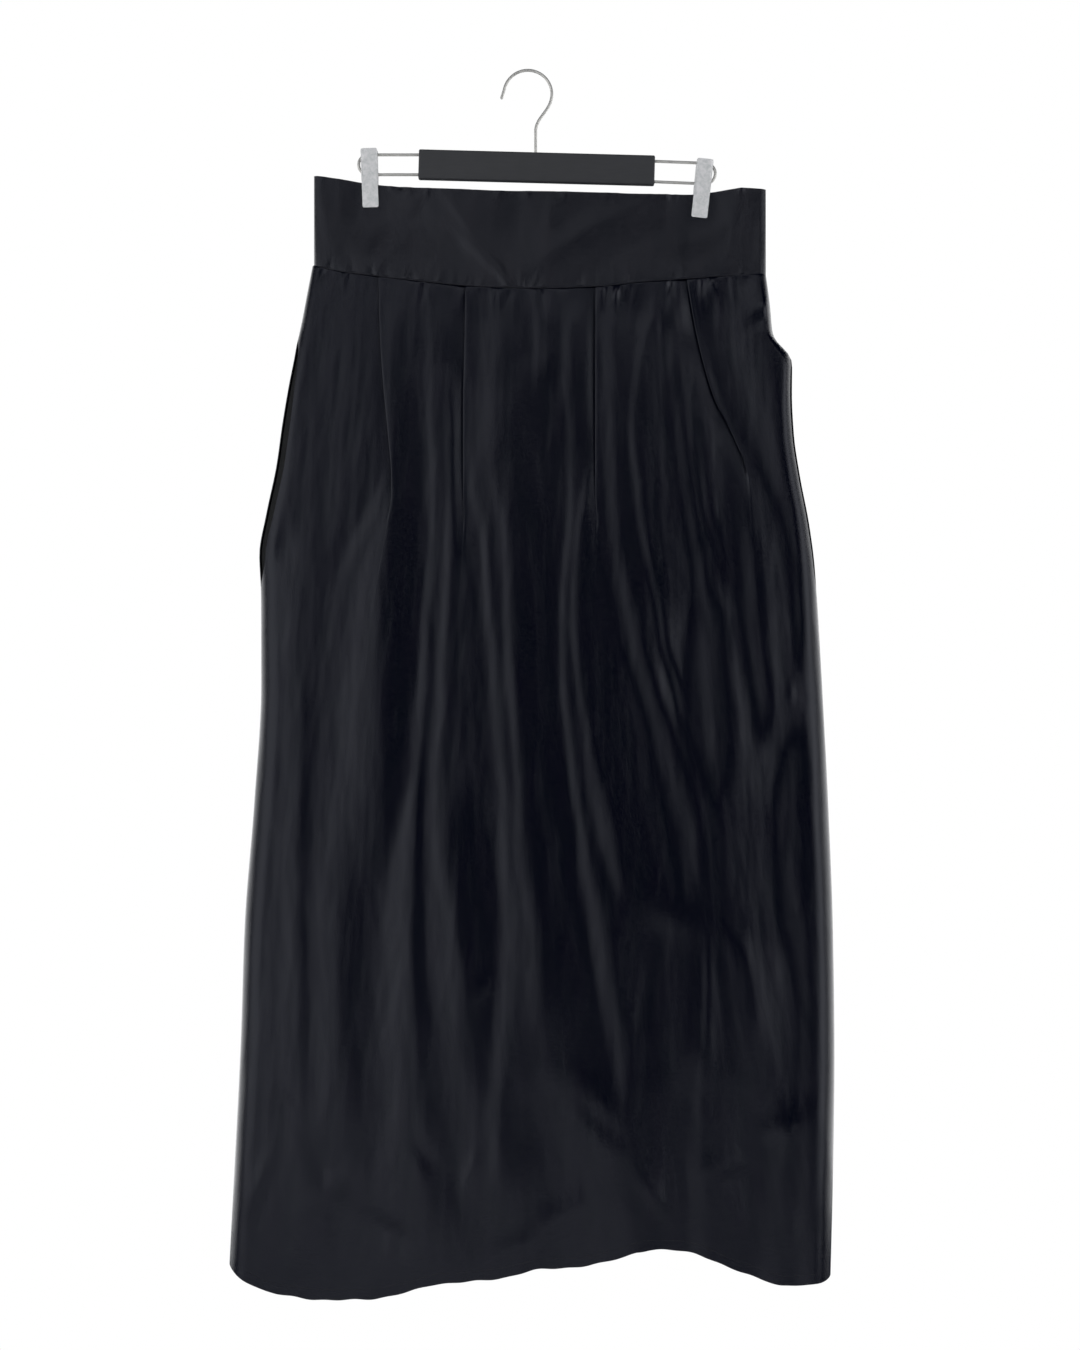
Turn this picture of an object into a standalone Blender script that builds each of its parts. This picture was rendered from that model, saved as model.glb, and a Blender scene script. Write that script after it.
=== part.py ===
"""A pleated satin maxi skirt hanging from a clip hanger.

The skirt faces -Y, +X is to the right of someone who looks at its front, and +Z is up.
The origin is the inner top of the hanger's hook, where a rail carries it.
Every size below is in millimetres, and MM turns it into metres when a mesh is made.
"""
import math

import bmesh
import bpy
import numpy as np
from mathutils import Matrix, Vector

MM = 0.001


def table(names, rows):
    """Give each named column of a short table as an array."""
    return {name: np.array(column, float) for name, column in zip(names.split(), zip(*rows))}


# Cloth and seams
CLOTH = 1.2
BAND_CLOTH = 2.0
BAG_CLOTH = 1.0
SEAM_GAP = 0.3
SIDE_GAP = 0.3
CENTRE_BACK = 10.0

# Outline of the skirt from the front, by share of the drop from waist seam (0) to hem (1)
OUTLINE = table("drop left right", [
    (0.00, -198.9, 220.0),
    (0.03, -204.2, 223.6),
    (0.06, -209.5, 226.4),
    (0.07, -211.6, 232.0),
    (0.08, -213.8, 241.2),
    (0.09, -215.4, 244.4),
    (0.12, -220.9, 244.2),
    (0.16, -227.1, 246.0),
    (0.20, -232.3, 251.3),
    (0.25, -242.0, 260.1),
    (0.29, -248.2, 265.0),
    (0.33, -246.6, 267.5),
    (0.42, -246.4, 272.3),
    (0.54, -252.9, 277.9),
    (0.66, -261.5, 281.9),
    (0.78, -265.2, 283.2),
    (0.90, -270.7, 281.9),
    (1.00, -275.5, 279.7),
])

# How far the front and back stand from the middle plane, and how round the sides are
DEPTH = table("drop middle side round", [
    (0.00, 13.0, 8.0, 7.0),
    (0.06, 15.5, 11.5, 9.0),
    (0.12, 19.0, 15.0, 12.0),
    (0.20, 24.0, 18.0, 15.0),
    (0.33, 29.0, 20.0, 17.0),
    (0.50, 33.0, 22.0, 18.0),
    (0.75, 37.0, 24.0, 18.0),
    (1.00, 40.0, 26.0, 18.0),
])

# Top edge of the waistband and the waist seam, across the front
WAIST = table("x top seam", [
    (-197.0, -97.0, -180.9),
    (-173.0, -100.4, -186.3),
    (-136.0, -105.6, -191.2),
    (-101.0, -108.4, -195.5),
    (-56.0, -110.6, -200.1),
    (-21.0, -112.3, -201.9),
    (11.0, -112.7, -202.4),
    (67.0, -113.7, -200.5),
    (104.0, -114.6, -196.6),
    (150.0, -114.3, -193.2),
    (172.0, -112.0, -191.3),
    (201.0, -108.6, -189.3),
    (219.5, -109.6, -188.6),
])

# Half depth of the waistband's top: pinched by the two clips, slack between and outside them
CLIP_GRIP = 1.6
PINCH = table("x half_depth", [
    (-197.0, 4.5),
    (-175.0, 4.5),
    (-156.0, CLIP_GRIP),
    (-136.0, CLIP_GRIP),
    (-105.0, 5.0),
    (-50.0, 9.0),
    (10.0, 10.5),
    (70.0, 9.0),
    (125.0, 5.0),
    (151.0, CLIP_GRIP),
    (171.0, CLIP_GRIP),
    (190.0, 4.5),
    (219.5, 4.5),
])
BAND_ROUND = 6.0
GRIPPED_SHARE = 0.34
BAND_ROWS = (0.0, 0.17, 0.34, 0.56, 0.78, 1.0)

# Hems: lower where a fold comes forward
FRONT_HEM = table("x z", [
    (-275.5, -1102.0),
    (-266.0, -1109.0),
    (-254.0, -1114.6),
    (-237.0, -1122.2),
    (-216.0, -1125.8),
    (-176.0, -1128.8),
    (-143.0, -1126.8),
    (-111.0, -1120.4),
    (-83.0, -1112.2),
    (-45.0, -1109.5),
    (-23.0, -1106.7),
    (9.0, -1099.8),
    (42.0, -1097.4),
    (64.0, -1094.0),
    (86.0, -1087.6),
    (108.0, -1081.4),
    (130.0, -1082.1),
    (152.0, -1085.2),
    (184.0, -1099.5),
    (217.0, -1111.3),
    (234.0, -1116.7),
    (255.0, -1115.8),
    (279.7, -1111.2),
])
BACK_HEM = table("x z", [
    (-275.5, -1102.0),
    (-225.0, -1108.0),
    (-150.0, -1099.0),
    (-80.0, -1104.0),
    (CENTRE_BACK, -1096.0),
    (90.0, -1103.0),
    (160.0, -1097.0),
    (235.0, -1109.0),
    (279.7, -1111.2),
])

# Visible edges of the knife pleats. The cloth right of an edge lies over the cloth left of it.
FRONT_PLEATS = table("drop first second third fourth", [
    (0.00, -136.8, -56.8, 62.9, 147.0),
    (0.06, -135.0, -57.6, 62.8, 157.0),
    (0.12, -130.8, -58.7, 62.7, 172.0),
    (0.16, -127.1, -58.7, 62.7, 190.0),
    (0.20, -124.0, -58.5, 62.7, 203.0),
    (0.25, -127.7, -58.0, 63.9, 209.0),
    (0.33, -135.7, -56.5, 65.8, 212.0),
    (0.42, -143.5, -54.5, 73.2, 213.0),
    (0.54, -153.0, -54.0, 81.0, 214.0),
    (0.66, -160.0, -57.0, 87.5, 214.0),
    (0.78, -166.6, -61.0, 92.7, 214.0),
    (1.00, -178.8, -68.2, 101.6, 214.0),
])
BACK_PLEATS = table("drop first second third fourth", [
    (0.00, -135.0, -62.0, 82.0, 155.0),
    (0.20, -141.0, -66.0, 88.0, 168.0),
    (0.45, -156.0, -74.0, 97.0, 187.0),
    (1.00, -182.0, -92.0, 116.0, 208.0),
])

# A pleat's overlap, which turns into a soft open step (minus) lower down, and its step in depth
FRONT_OVERLAP = table("drop first second third fourth step", [
    (0.00, 13.0, 13.0, 13.0, 13.0, 3.8),
    (0.10, 11.0, 11.5, 12.0, 9.0, 3.8),
    (0.16, 7.0, 8.0, 9.0, 3.0, 4.0),
    (0.21, 2.0, 3.0, 5.0, -4.0, 5.0),
    (0.27, -6.0, -4.0, -1.0, -11.0, 6.5),
    (0.36, -15.0, -13.0, -10.0, -18.0, 7.5),
    (0.60, -26.0, -24.0, -22.0, -24.0, 7.0),
    (1.00, -34.0, -34.0, -34.0, -26.0, 6.0),
])
BACK_OVERLAP = table("drop first second third fourth step", [
    (0.00, 13.0, 13.0, 13.0, 13.0, 3.8),
    (0.12, 10.0, 11.0, 11.0, 10.0, 3.8),
    (0.20, 2.0, 3.0, 4.0, 2.0, 5.0),
    (0.28, -8.0, -7.0, -6.0, -8.0, 6.5),
    (0.60, -26.0, -24.0, -24.0, -26.0, 7.0),
    (1.00, -36.0, -34.0, -34.0, -36.0, 6.0),
])
FULL_TURN_OVERLAP = 3.0
TURN_REACH = 0.9
PLEAT_DEPTHS = np.array((1.0, 0.76, 0.54, 0.46, 0.24, 0.0))
PLEAT_OPEN = np.array((1.0, 0.8, 0.6, 0.4, 0.2, 0.0))

# Large soft folds: a row for each, height above (or below) the panel and half its width
FOLD_COLUMNS = "start stop x_start x_middle x_stop height width"
FRONT_FOLDS = table(FOLD_COLUMNS, [
    (0.33, 1.40, -190.0, -182.0, -182.0, 9.0, 30.0),
    (0.18, 0.80, -137.0, -151.0, -166.0, 7.0, 13.0),
    (0.03, 1.30, -90.7, -101.0, -128.0, 6.0, 10.0),
    (0.10, 1.20, -72.5, -84.0, -74.0, 4.5, 9.0),
    (0.18, 1.30, -57.0, -24.0, -32.0, 6.5, 11.0),
    (0.18, 0.70, -31.0, -13.0, -3.0, 4.0, 9.0),
    (0.16, 0.90, 40.0, 38.0, 79.0, 6.0, 11.0),
    (0.18, 0.66, 54.0, 46.0, 78.0, 3.5, 8.0),
    (0.26, 1.40, 92.0, 139.0, 163.0, 9.0, 15.0),
    (0.04, 0.50, 102.4, 101.0, 149.0, 4.0, 8.0),
    (0.02, 0.52, 136.0, 143.0, 168.0, 6.0, 10.0),
    (0.18, 0.55, 199.0, 204.0, 197.0, 6.0, 15.0),
    (0.42, 1.40, 234.0, 236.0, 240.0, 8.0, 18.0),
    (0.08, 0.66, -110.0, -112.0, -118.0, -6.0, 11.0),
    (0.16, 0.98, 12.0, 14.0, 34.0, -8.0, 19.0),
    (0.60, 1.40, 99.0, 107.0, 106.0, -9.0, 14.0),
    (0.26, 0.56, 226.0, 227.0, 226.0, -4.0, 9.0),
    (0.60, 1.30, -103.0, -101.0, -98.0, -5.0, 10.0),
    (0.70, 1.20, 221.0, 221.0, 222.0, -4.0, 9.0),
])
BACK_FOLDS = table(FOLD_COLUMNS, [
    (0.20, 1.40, -206.0, -216.0, -226.0, 8.0, 20.0),
    (0.12, 0.80, -162.0, -170.0, -176.0, -5.0, 11.0),
    (0.22, 1.30, -120.0, -128.0, -140.0, 7.0, 13.0),
    (0.30, 1.40, -60.0, -54.0, -62.0, 7.0, 15.0),
    (0.16, 1.20, -22.0, -24.0, -26.0, -7.0, 13.0),
    (0.26, 1.30, 44.0, 52.0, 58.0, 7.0, 14.0),
    (0.20, 0.90, 112.0, 128.0, 140.0, -6.0, 12.0),
    (0.24, 1.40, 150.0, 166.0, 178.0, 8.0, 15.0),
    (0.34, 1.40, 226.0, 236.0, 240.0, 8.0, 18.0),
    (0.50, 1.40, -98.0, -102.0, -104.0, -6.0, 11.0),
])
FOLD_FADE = 0.14

# Rows and columns of the skirt's panels
DROP_ROWS = (0.0, 0.03, 0.06, 0.08, 0.10, 0.13, 0.17, 0.21, 0.25, 0.29, 0.33,
             0.40, 0.48, 0.57, 0.66, 0.75, 0.84, 0.92, 1.0)
SIDE_COLUMNS = np.array((0.0, 0.10, 0.36, 0.70, 1.0))
FRONT_COLUMNS = (4, 6, 9, 8, 3)
BACK_COLUMNS = (4, 5, 5)

# Pocket mouths in the side seams: how far the front's edge stands in from the outline
MOUTH = table("drop left right", [
    (0.070, 0.0, 0.0),
    (0.085, 3.5, 2.0),
    (0.120, 7.0, 3.0),
    (0.170, 9.0, 3.0),
    (0.230, 9.0, 3.0),
    (0.290, 7.5, 2.5),
    (0.325, 0.0, 0.0),
])
# Reach of a pocket bag from the side seam, and how far its front stands off (0 to 1)
BAG = table("drop reach open", [
    (0.06, 116.0, 0.00),
    (0.08, 132.0, 0.40),
    (0.10, 142.0, 0.85),
    (0.14, 150.0, 1.00),
    (0.20, 153.0, 1.00),
    (0.26, 150.0, 1.00),
    (0.30, 143.0, 0.80),
    (0.33, 130.0, 0.40),
    (0.40, 78.0, 0.00),
])
BAG_COLUMNS = 7
BAG_PLANE = 1.5
BAG_ROOM = 0.9
BAG_CURVE = 1.4

# Concealed zip behind the centre-back seam
ZIP_WIDTH = 24.0
ZIP_WALL = 1.0
ZIP_TOP = 4.0
ZIP_STOP_DROP = 0.15
SLIDER_HEIGHT = 10.0
SLIDER_WIDTH = 6.4
SLIDER_PLATE = 1.4
SLIDER_BELOW_EDGE = 9.0
PIN_RADIUS = 0.5
LUG_RADIUS = 1.4
LUG_WIDTH = 1.0
LUG_FOOT = 2.5
KNUCKLE_RADIUS = 1.2
KNUCKLE_HOLE = 0.8
KNUCKLE_WIDTH = 2.4
PIN_STAND_OFF = 1.9
TAB_LENGTH = 23.0
TAB_WIDTH = 5.2
TAB_NECK = 2.2
TAB_SHOULDER = 2.2
TAB_ROUND = 5.0
TAB_STEPS = 8
TAB_PLATE = 0.9

# Hanger
WIRE_RADIUS = 1.35
SOCKET_GAP = 0.3
BAR_LENGTH = 218.5
BAR_HEIGHT = 27.4
BAR_DEPTH = 9.0
BAR_CENTRE = (8.2, -88.9)
BAR_TILT = math.radians(1.5)
BAR_BEVEL = 1.5
HOOK_RADIUS = 22.2
HOOK_TIP = (-24.2, -25.4)
HOOK_STEM_X = 7.2
HOOK_BEND_Z = -56.0
SOCKET_DEPTH = 8.0
LOOP_STEPS = 12
HOOK_STEPS = 18
BEND_STEPS = 7
HOOK_ARC = (math.radians(-27), math.radians(168))
HOOK_BEND_REACH = 11.0
CLIP_WIDTH = 14.8
CLIP_STEEL = 0.8
CLIP_SPRING_RADIUS = 3.0
CLIP_SPRING_LENGTH = 13.0

# The two ends of the hanger: the wire loop's middle and the clip on it
ENDS = {
    "left": dict(loop_x=-147.4, loop_z=-86.1, loop_radius=9.2, slope=0.0,
                 clip_top=(-146.9, -71.9), clip_foot=(-145.3, -126.2)),
    "right": dict(loop_x=164.1, loop_z=-94.2, loop_radius=9.5, slope=-0.040,
                  clip_top=(164.2, -81.6), clip_foot=(158.5, -135.3)),
}
# A jaw from top to foot: distance down the clip, stand-off of its inner face, turned-in edge
JAW = table("down stand_off edge", [
    (0.0, 5.8, 0.2),
    (1.5, 5.6, 1.2),
    (8.0, 4.2, 1.6),
    (12.0, 3.5, 1.6),
    (19.0, 3.6, 1.6),
    (27.0, 4.1, 0.9),
    (31.5, 4.3, 0.1),
    (43.0, 3.8, 0.0),
    (49.5, 2.9, 0.0),
    (54.3, 3.5, 0.0),
])

# A jaw's section: place across it and how much of the turned-in edge it has
JAW_SECTION = table("share turned", [
    (-0.50, 1.00),
    (-0.46, 0.45),
    (-0.40, 0.00),
    (-0.15, 0.00),
    (0.15, 0.00),
    (0.40, 0.00),
    (0.46, 0.45),
    (0.50, 1.00),
])

CLOTH_COLOUR = (0.012, 0.013, 0.017, 1.0)
BAG_COLOUR = (0.010, 0.011, 0.014, 1.0)
ZIP_COLOUR = (0.008, 0.008, 0.010, 1.0)
BAR_COLOUR = (0.042, 0.043, 0.050, 1.0)
STEEL_COLOUR = (0.55, 0.55, 0.57, 1.0)


def clear_scene():
    for old in list(bpy.data.objects):
        bpy.data.objects.remove(old, do_unlink=True)


def material(name, colour, roughness, metallic=0.0):
    made = bpy.data.materials.new(name)
    made.use_nodes = True
    shader = made.node_tree.nodes["Principled BSDF"]
    shader.inputs["Base Color"].default_value = colour
    shader.inputs["Roughness"].default_value = roughness
    shader.inputs["Metallic"].default_value = metallic
    return made


def add_object(name, mesh_builder, finish):
    """Turn a bmesh in millimetres into a named object in metres, with its faces outwards."""
    bmesh.ops.recalc_face_normals(mesh_builder, faces=mesh_builder.faces)
    bmesh.ops.scale(mesh_builder, vec=(MM, MM, MM), verts=mesh_builder.verts)
    mesh = bpy.data.meshes.new(name)
    mesh_builder.to_mesh(mesh)
    mesh_builder.free()
    mesh.materials.append(finish)
    made = bpy.data.objects.new(name, mesh)
    bpy.context.scene.collection.objects.link(made)
    mesh.shade_smooth()
    mesh.set_sharp_from_angle(angle=math.radians(40))
    return made


def smooth_curve(knots, values, at):
    """Read a smooth curve through a table's points that never swings past them."""
    step = np.diff(knots)
    slope = np.diff(values) / step
    before, after = slope[:-1], slope[1:]
    same_way = before * after > 0
    total = np.where(same_way, before + after, 1.0)
    inner = np.where(same_way, 2 * before * after / total, 0.0)
    tangent = np.concatenate(([slope[0]], inner, [slope[-1]]))
    at = np.clip(np.asarray(at, float), knots[0], knots[-1])
    cell = np.clip(np.searchsorted(knots, at, side="right") - 1, 0, len(step) - 1)
    t = (at - knots[cell]) / step[cell]
    return (values[cell] * (1 + 2 * t) * (1 - t) ** 2
            + values[cell + 1] * t * t * (3 - 2 * t)
            + tangent[cell] * step[cell] * t * (1 - t) ** 2
            - tangent[cell + 1] * step[cell] * t * t * (1 - t))


def read(source, key, column, at):
    return smooth_curve(source[key], source[column], at)


def ease(t):
    t = np.clip(t, 0.0, 1.0)
    return t * t * (3 - 2 * t)


def flat_depth(x, drop):
    """Distance of the cloth from the middle plane, before the sides are rounded."""
    left = read(OUTLINE, "drop", "left", drop)
    right = read(OUTLINE, "drop", "right", drop)
    across = (2 * x - left - right) / (right - left)
    side = read(DEPTH, "drop", "side", drop)
    return side + (read(DEPTH, "drop", "middle", drop) - side) * (1 - across ** 2)


def rounded(x, left, right, radius):
    """Share of the depth that is left near a side seam, from 0 at the seam to 1."""
    inset = np.clip(np.minimum(x - left, right - x) / radius, 0.0, 1.0)
    return np.sqrt(1 - (1 - inset) ** 2)


def half_depth(x, drop):
    left = read(OUTLINE, "drop", "left", drop)
    right = read(OUTLINE, "drop", "right", drop)
    return flat_depth(x, drop) * rounded(x, left, right, read(DEPTH, "drop", "round", drop))


def relief(folds, x, drop):
    """Sum of the soft folds that cross this height, towards the viewer of the panel."""
    total = np.zeros_like(x)
    for start, stop, x_start, x_middle, x_stop, height, width in zip(*folds.values()):
        along = (drop - start) / (stop - start)
        if not 0 < along < 1:
            continue
        first_half = 1 - 2 * along
        crest = (x_start * first_half * (1 - along) + x_stop * -first_half * along
                 + 4 * x_middle * along * (1 - along))
        strength = ease((drop - start) / FOLD_FADE) * ease((stop - drop) / FOLD_FADE)
        total += height * strength * np.exp(-((x - crest) / width) ** 2)
    return total


def pleat_points(edge, overlap):
    """The six places across one knife pleat, from the cloth below to the cloth on top."""
    if overlap < 0:
        return edge + overlap * PLEAT_OPEN
    turn = TURN_REACH * ease(overlap / FULL_TURN_OVERLAP)
    return edge + np.array((overlap, overlap + turn, overlap, 0.0, -turn, 0.0))


def across_panel(start, stop, pleats, overlaps, counts, side_first, side_last):
    """Places across a panel and how far each sinks below the top layer, 0 to 1."""
    places = [start + side_first * SIDE_COLUMNS] if side_first else [np.array([start])]
    sinks = [np.zeros(len(places[0]))]
    corners = [pleat_points(edge, overlap) for edge, overlap in zip(pleats, overlaps)]
    end = stop - side_last * SIDE_COLUMNS[::-1] if side_last else np.array([stop])
    for count, corner in zip(counts, corners + [None]):
        goal = end[0] if corner is None else corner[0]
        sink = 0.0 if corner is None else 1.0
        share = np.arange(1, count + 1) / (count + 1)
        places.append(places[-1][-1] + share * (goal - places[-1][-1]))
        sinks.append(share * sink)
        places.append(end if corner is None else corner)
        sinks.append(np.zeros(len(end)) if corner is None else PLEAT_DEPTHS)
    return np.concatenate(places), np.concatenate(sinks)


def offset_section(x, y, distance):
    """Move a section sideways by a distance, with mitred corners."""
    step = np.stack((np.diff(x), np.diff(y)), axis=1)
    step /= np.linalg.norm(step, axis=1)[:, None]
    normal = np.stack((step[:, 1], -step[:, 0]), axis=1)
    before = np.vstack((normal[:1], normal))
    after = np.vstack((normal, normal[-1:]))
    mitre = (before + after) / (1 + np.sum(before * after, axis=1))[:, None]
    return x + distance * mitre[:, 0], y + distance * mitre[:, 1]


def add_wall(name, sections, thickness, finish):
    """Build a closed wall round the middle sections, each of which is (x, y, z) arrays."""
    made = bmesh.new()
    faces = []
    for sign in (1, -1):
        rows = []
        for x, y, z in sections:
            wall_x, wall_y = offset_section(x, y, sign * thickness / 2)
            rows.append([made.verts.new(point) for point in zip(wall_x, wall_y, z)])
        faces.append(rows)
    outer, inner = faces
    row_count, column_count = len(outer), len(outer[0])
    for rows in (outer, inner):
        for r in range(row_count - 1):
            for c in range(column_count - 1):
                made.faces.new((rows[r][c], rows[r][c + 1], rows[r + 1][c + 1], rows[r + 1][c]))
    for c in range(column_count - 1):
        for r in (0, row_count - 1):
            made.faces.new((outer[r][c], inner[r][c], inner[r][c + 1], outer[r][c + 1]))
    for r in range(row_count - 1):
        for c in (0, column_count - 1):
            made.faces.new((outer[r][c], outer[r + 1][c], inner[r + 1][c], inner[r][c]))
    return add_object(name, made, finish)


def front_section(drop):
    """Places, sink and height share of the front panel's cloth at one drop."""
    left = read(OUTLINE, "drop", "left", drop) + read(MOUTH, "drop", "left", drop)
    right = read(OUTLINE, "drop", "right", drop) - read(MOUTH, "drop", "right", drop)
    pleats = [read(FRONT_PLEATS, "drop", name, drop)
              for name in ("first", "second", "third", "fourth")]
    overlaps = [read(FRONT_OVERLAP, "drop", name, drop)
                for name in ("first", "second", "third", "fourth")]
    round_side = read(DEPTH, "drop", "round", drop)
    x, sink = across_panel(left, right, pleats, overlaps, FRONT_COLUMNS, round_side, round_side)
    step = read(FRONT_OVERLAP, "drop", "step", drop)
    depth = half_depth(x, drop)
    calm = np.clip(depth / read(DEPTH, "drop", "side", drop), 0.0, 1.0) ** 2
    y = -depth + calm * (sink * step - relief(FRONT_FOLDS, x, drop)) - SIDE_GAP
    return x, y


def back_section(drop, side):
    """The same for a back panel, from the side seam to the centre back or the reverse."""
    left = read(OUTLINE, "drop", "left", drop)
    right = read(OUTLINE, "drop", "right", drop)
    round_side = read(DEPTH, "drop", "round", drop)
    step = read(BACK_OVERLAP, "drop", "step", drop)
    if side == "left":
        names = ("first", "second")
        start, stop, rounds = left, CENTRE_BACK - SEAM_GAP / 2, (round_side, 0)
    else:
        names = ("third", "fourth")
        start, stop, rounds = CENTRE_BACK + SEAM_GAP / 2, right, (0, round_side)
    pleats = [read(BACK_PLEATS, "drop", name, drop) for name in names]
    overlaps = [read(BACK_OVERLAP, "drop", name, drop) for name in names]
    counts = BACK_COLUMNS if side == "left" else BACK_COLUMNS[::-1]
    x, sink = across_panel(start, stop, pleats, overlaps, counts, *rounds)
    depth = half_depth(x, drop)
    calm = np.clip(depth / read(DEPTH, "drop", "side", drop), 0.0, 1.0) ** 2
    y = depth - calm * (sink * step - relief(BACK_FOLDS, x, drop)) + SIDE_GAP
    return x, y


def hang(section_of, hem):
    """Give each row of a panel its heights, from the waist seam down to the hem."""
    top_x, top_y = section_of(0.0)
    foot_x, foot_y = section_of(1.0)
    top = read(WAIST, "x", "seam", top_x) - SEAM_GAP / 2
    foot = read(hem, "x", "z", foot_x)
    rows = []
    for drop in DROP_ROWS:
        x, y = section_of(drop)
        rows.append((x, y, top + (foot - top) * drop))
    return rows


def band_depth(x, share):
    """Half depth of the waistband from its top (0) to the waist seam (1)."""
    top = read(PINCH, "x", "half_depth", x)
    slack = ease((share - GRIPPED_SHARE) / (1 - GRIPPED_SHARE))
    depth = top + (flat_depth(x, 0.0) - top) * slack
    return depth * rounded(x, WAIST["x"][0], WAIST["x"][-1], BAND_ROUND)


def band_rows(x, facing):
    top = read(WAIST, "x", "top", x)
    foot = read(WAIST, "x", "seam", x) + SEAM_GAP / 2
    rows = []
    for share in BAND_ROWS:
        y = facing * (band_depth(x, share) + SIDE_GAP)
        rows.append((x, y, top + (foot - top) * share))
    return rows


def band_places(start, stop):
    """Columns along the waistband, close together at its round ends and the clips."""
    left, right = WAIST["x"][0], WAIST["x"][-1]
    even = np.linspace(left, right, 27)[1:-1]
    rounds = np.concatenate((left + BAND_ROUND * SIDE_COLUMNS, right - BAND_ROUND * SIDE_COLUMNS))
    gripped = PINCH["x"][PINCH["half_depth"] == CLIP_GRIP]
    kept = np.concatenate((rounds, gripped))
    even = [x for x in even if np.min(np.abs(kept - x)) > 5.0]
    places = np.sort(np.concatenate((kept, even)))
    inside = places[(places > start + 1e-6) & (places < stop - 1e-6)]
    return np.concatenate(([start], inside, [stop]))


def add_waistband(finish):
    left, right = WAIST["x"][0], WAIST["x"][-1]
    add_wall("waistband_front", band_rows(band_places(left, right), -1), BAND_CLOTH, finish)
    middle_left = CENTRE_BACK - SEAM_GAP / 2
    middle_right = CENTRE_BACK + SEAM_GAP / 2
    add_wall("waistband_back_left", band_rows(band_places(left, middle_left), 1),
             BAND_CLOTH, finish)
    add_wall("waistband_back_right", band_rows(band_places(middle_right, right), 1),
             BAND_CLOTH, finish)


def add_skirt(finish):
    add_wall("skirt_front", hang(front_section, FRONT_HEM), CLOTH, finish)
    for side in ("left", "right"):
        sections = hang(lambda drop: back_section(drop, side), BACK_HEM)
        add_wall("skirt_back_" + side, sections, CLOTH, finish)


def add_pocket(side, finish):
    """Two bag pieces behind a pocket mouth: one on the front's edge, one on the back's."""
    inward = 1 if side == "left" else -1
    seam_x = OUTLINE[side][0]
    top = read(WAIST, "x", "seam", seam_x)
    foot = read(FRONT_HEM, "x", "z", OUTLINE[side][-1])
    layer = BAG_CLOTH + SEAM_GAP
    back_start = CLOTH / 2 + SEAM_GAP + BAG_ROOM
    front_rows, back_rows = [], []
    for drop in DROP_ROWS:
        if not BAG["drop"][0] <= drop <= BAG["drop"][-1]:
            continue
        reach = read(BAG, "drop", "reach", drop)
        opened = read(BAG, "drop", "open", drop)
        z = np.full(BAG_COLUMNS, top + (foot - top) * drop)
        edge = read(OUTLINE, "drop", side, drop)
        mouth = read(MOUTH, "drop", side, drop)
        share = np.linspace(0.0, 1.0, BAG_COLUMNS)
        start = mouth + back_start
        front_x = edge + inward * (start + (reach - start) * share)
        panel_y = -half_depth(edge + inward * mouth, drop) - SIDE_GAP
        mouth_y = panel_y + (CLOTH + BAG_CLOTH) / 2 + SEAM_GAP
        closed_y = BAG_PLANE - layer
        stand = opened * (1 - share) ** BAG_CURVE
        front_y = closed_y + (np.minimum(mouth_y, closed_y) - closed_y) * stand
        back_x = edge + inward * (back_start + (reach - back_start) * share)
        front_rows.append((front_x, front_y, z))
        back_rows.append((back_x, np.full(BAG_COLUMNS, BAG_PLANE), z))
    add_wall("pocket_" + side + "_front_bag", front_rows, BAG_CLOTH, finish)
    add_wall("pocket_" + side + "_back_bag", back_rows, BAG_CLOTH, finish)


def box(size, centre):
    """A box as a bmesh, in millimetres."""
    made = bmesh.new()
    bmesh.ops.create_cube(made, size=1.0)
    bmesh.ops.scale(made, vec=size, verts=made.verts)
    bmesh.ops.translate(made, vec=centre, verts=made.verts)
    return made


def rod_along_x(radius, length, centre, sides=20):
    made = bmesh.new()
    bmesh.ops.create_cone(made, cap_ends=True, segments=sides, radius1=radius,
                          radius2=radius, depth=length)
    bmesh.ops.rotate(made, matrix=Matrix.Rotation(math.pi / 2, 3, "Y"), verts=made.verts)
    bmesh.ops.translate(made, vec=centre, verts=made.verts)
    return made


def combine(target, name, other_builder, operation):
    """Join a shape to an object, or cut it away, with a Boolean that stays on it."""
    guide = add_object(name, other_builder, target.data.materials[0])
    guide.hide_render = True
    guide.display_type = "WIRE"
    step = target.modifiers.new(name, "BOOLEAN")
    step.operation = operation
    step.object = guide


def back_inside(x, drop):
    """Inside face of the skirt's back beside the centre-back seam."""
    places, depths = [], []
    for side in ("left", "right"):
        section_x, section_y = back_section(drop, side)
        near = np.abs(section_x - CENTRE_BACK) < 2 * ZIP_WIDTH
        places.append(section_x[near])
        depths.append(section_y[near])
    return np.interp(x, np.concatenate(places), np.concatenate(depths)) - CLOTH / 2


def zip_pin():
    """Where the pull tab swings: outside the waistband, at its top in the centre back."""
    band_y = band_depth(np.array([CENTRE_BACK]), 0.0)[0] + SIDE_GAP + BAND_CLOTH / 2
    plate_y = band_y + SEAM_GAP + SLIDER_PLATE / 2
    pin_z = read(WAIST, "x", "top", CENTRE_BACK) - SLIDER_BELOW_EDGE
    return plate_y, plate_y + SLIDER_PLATE / 2 + PIN_STAND_OFF, float(pin_z)


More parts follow.
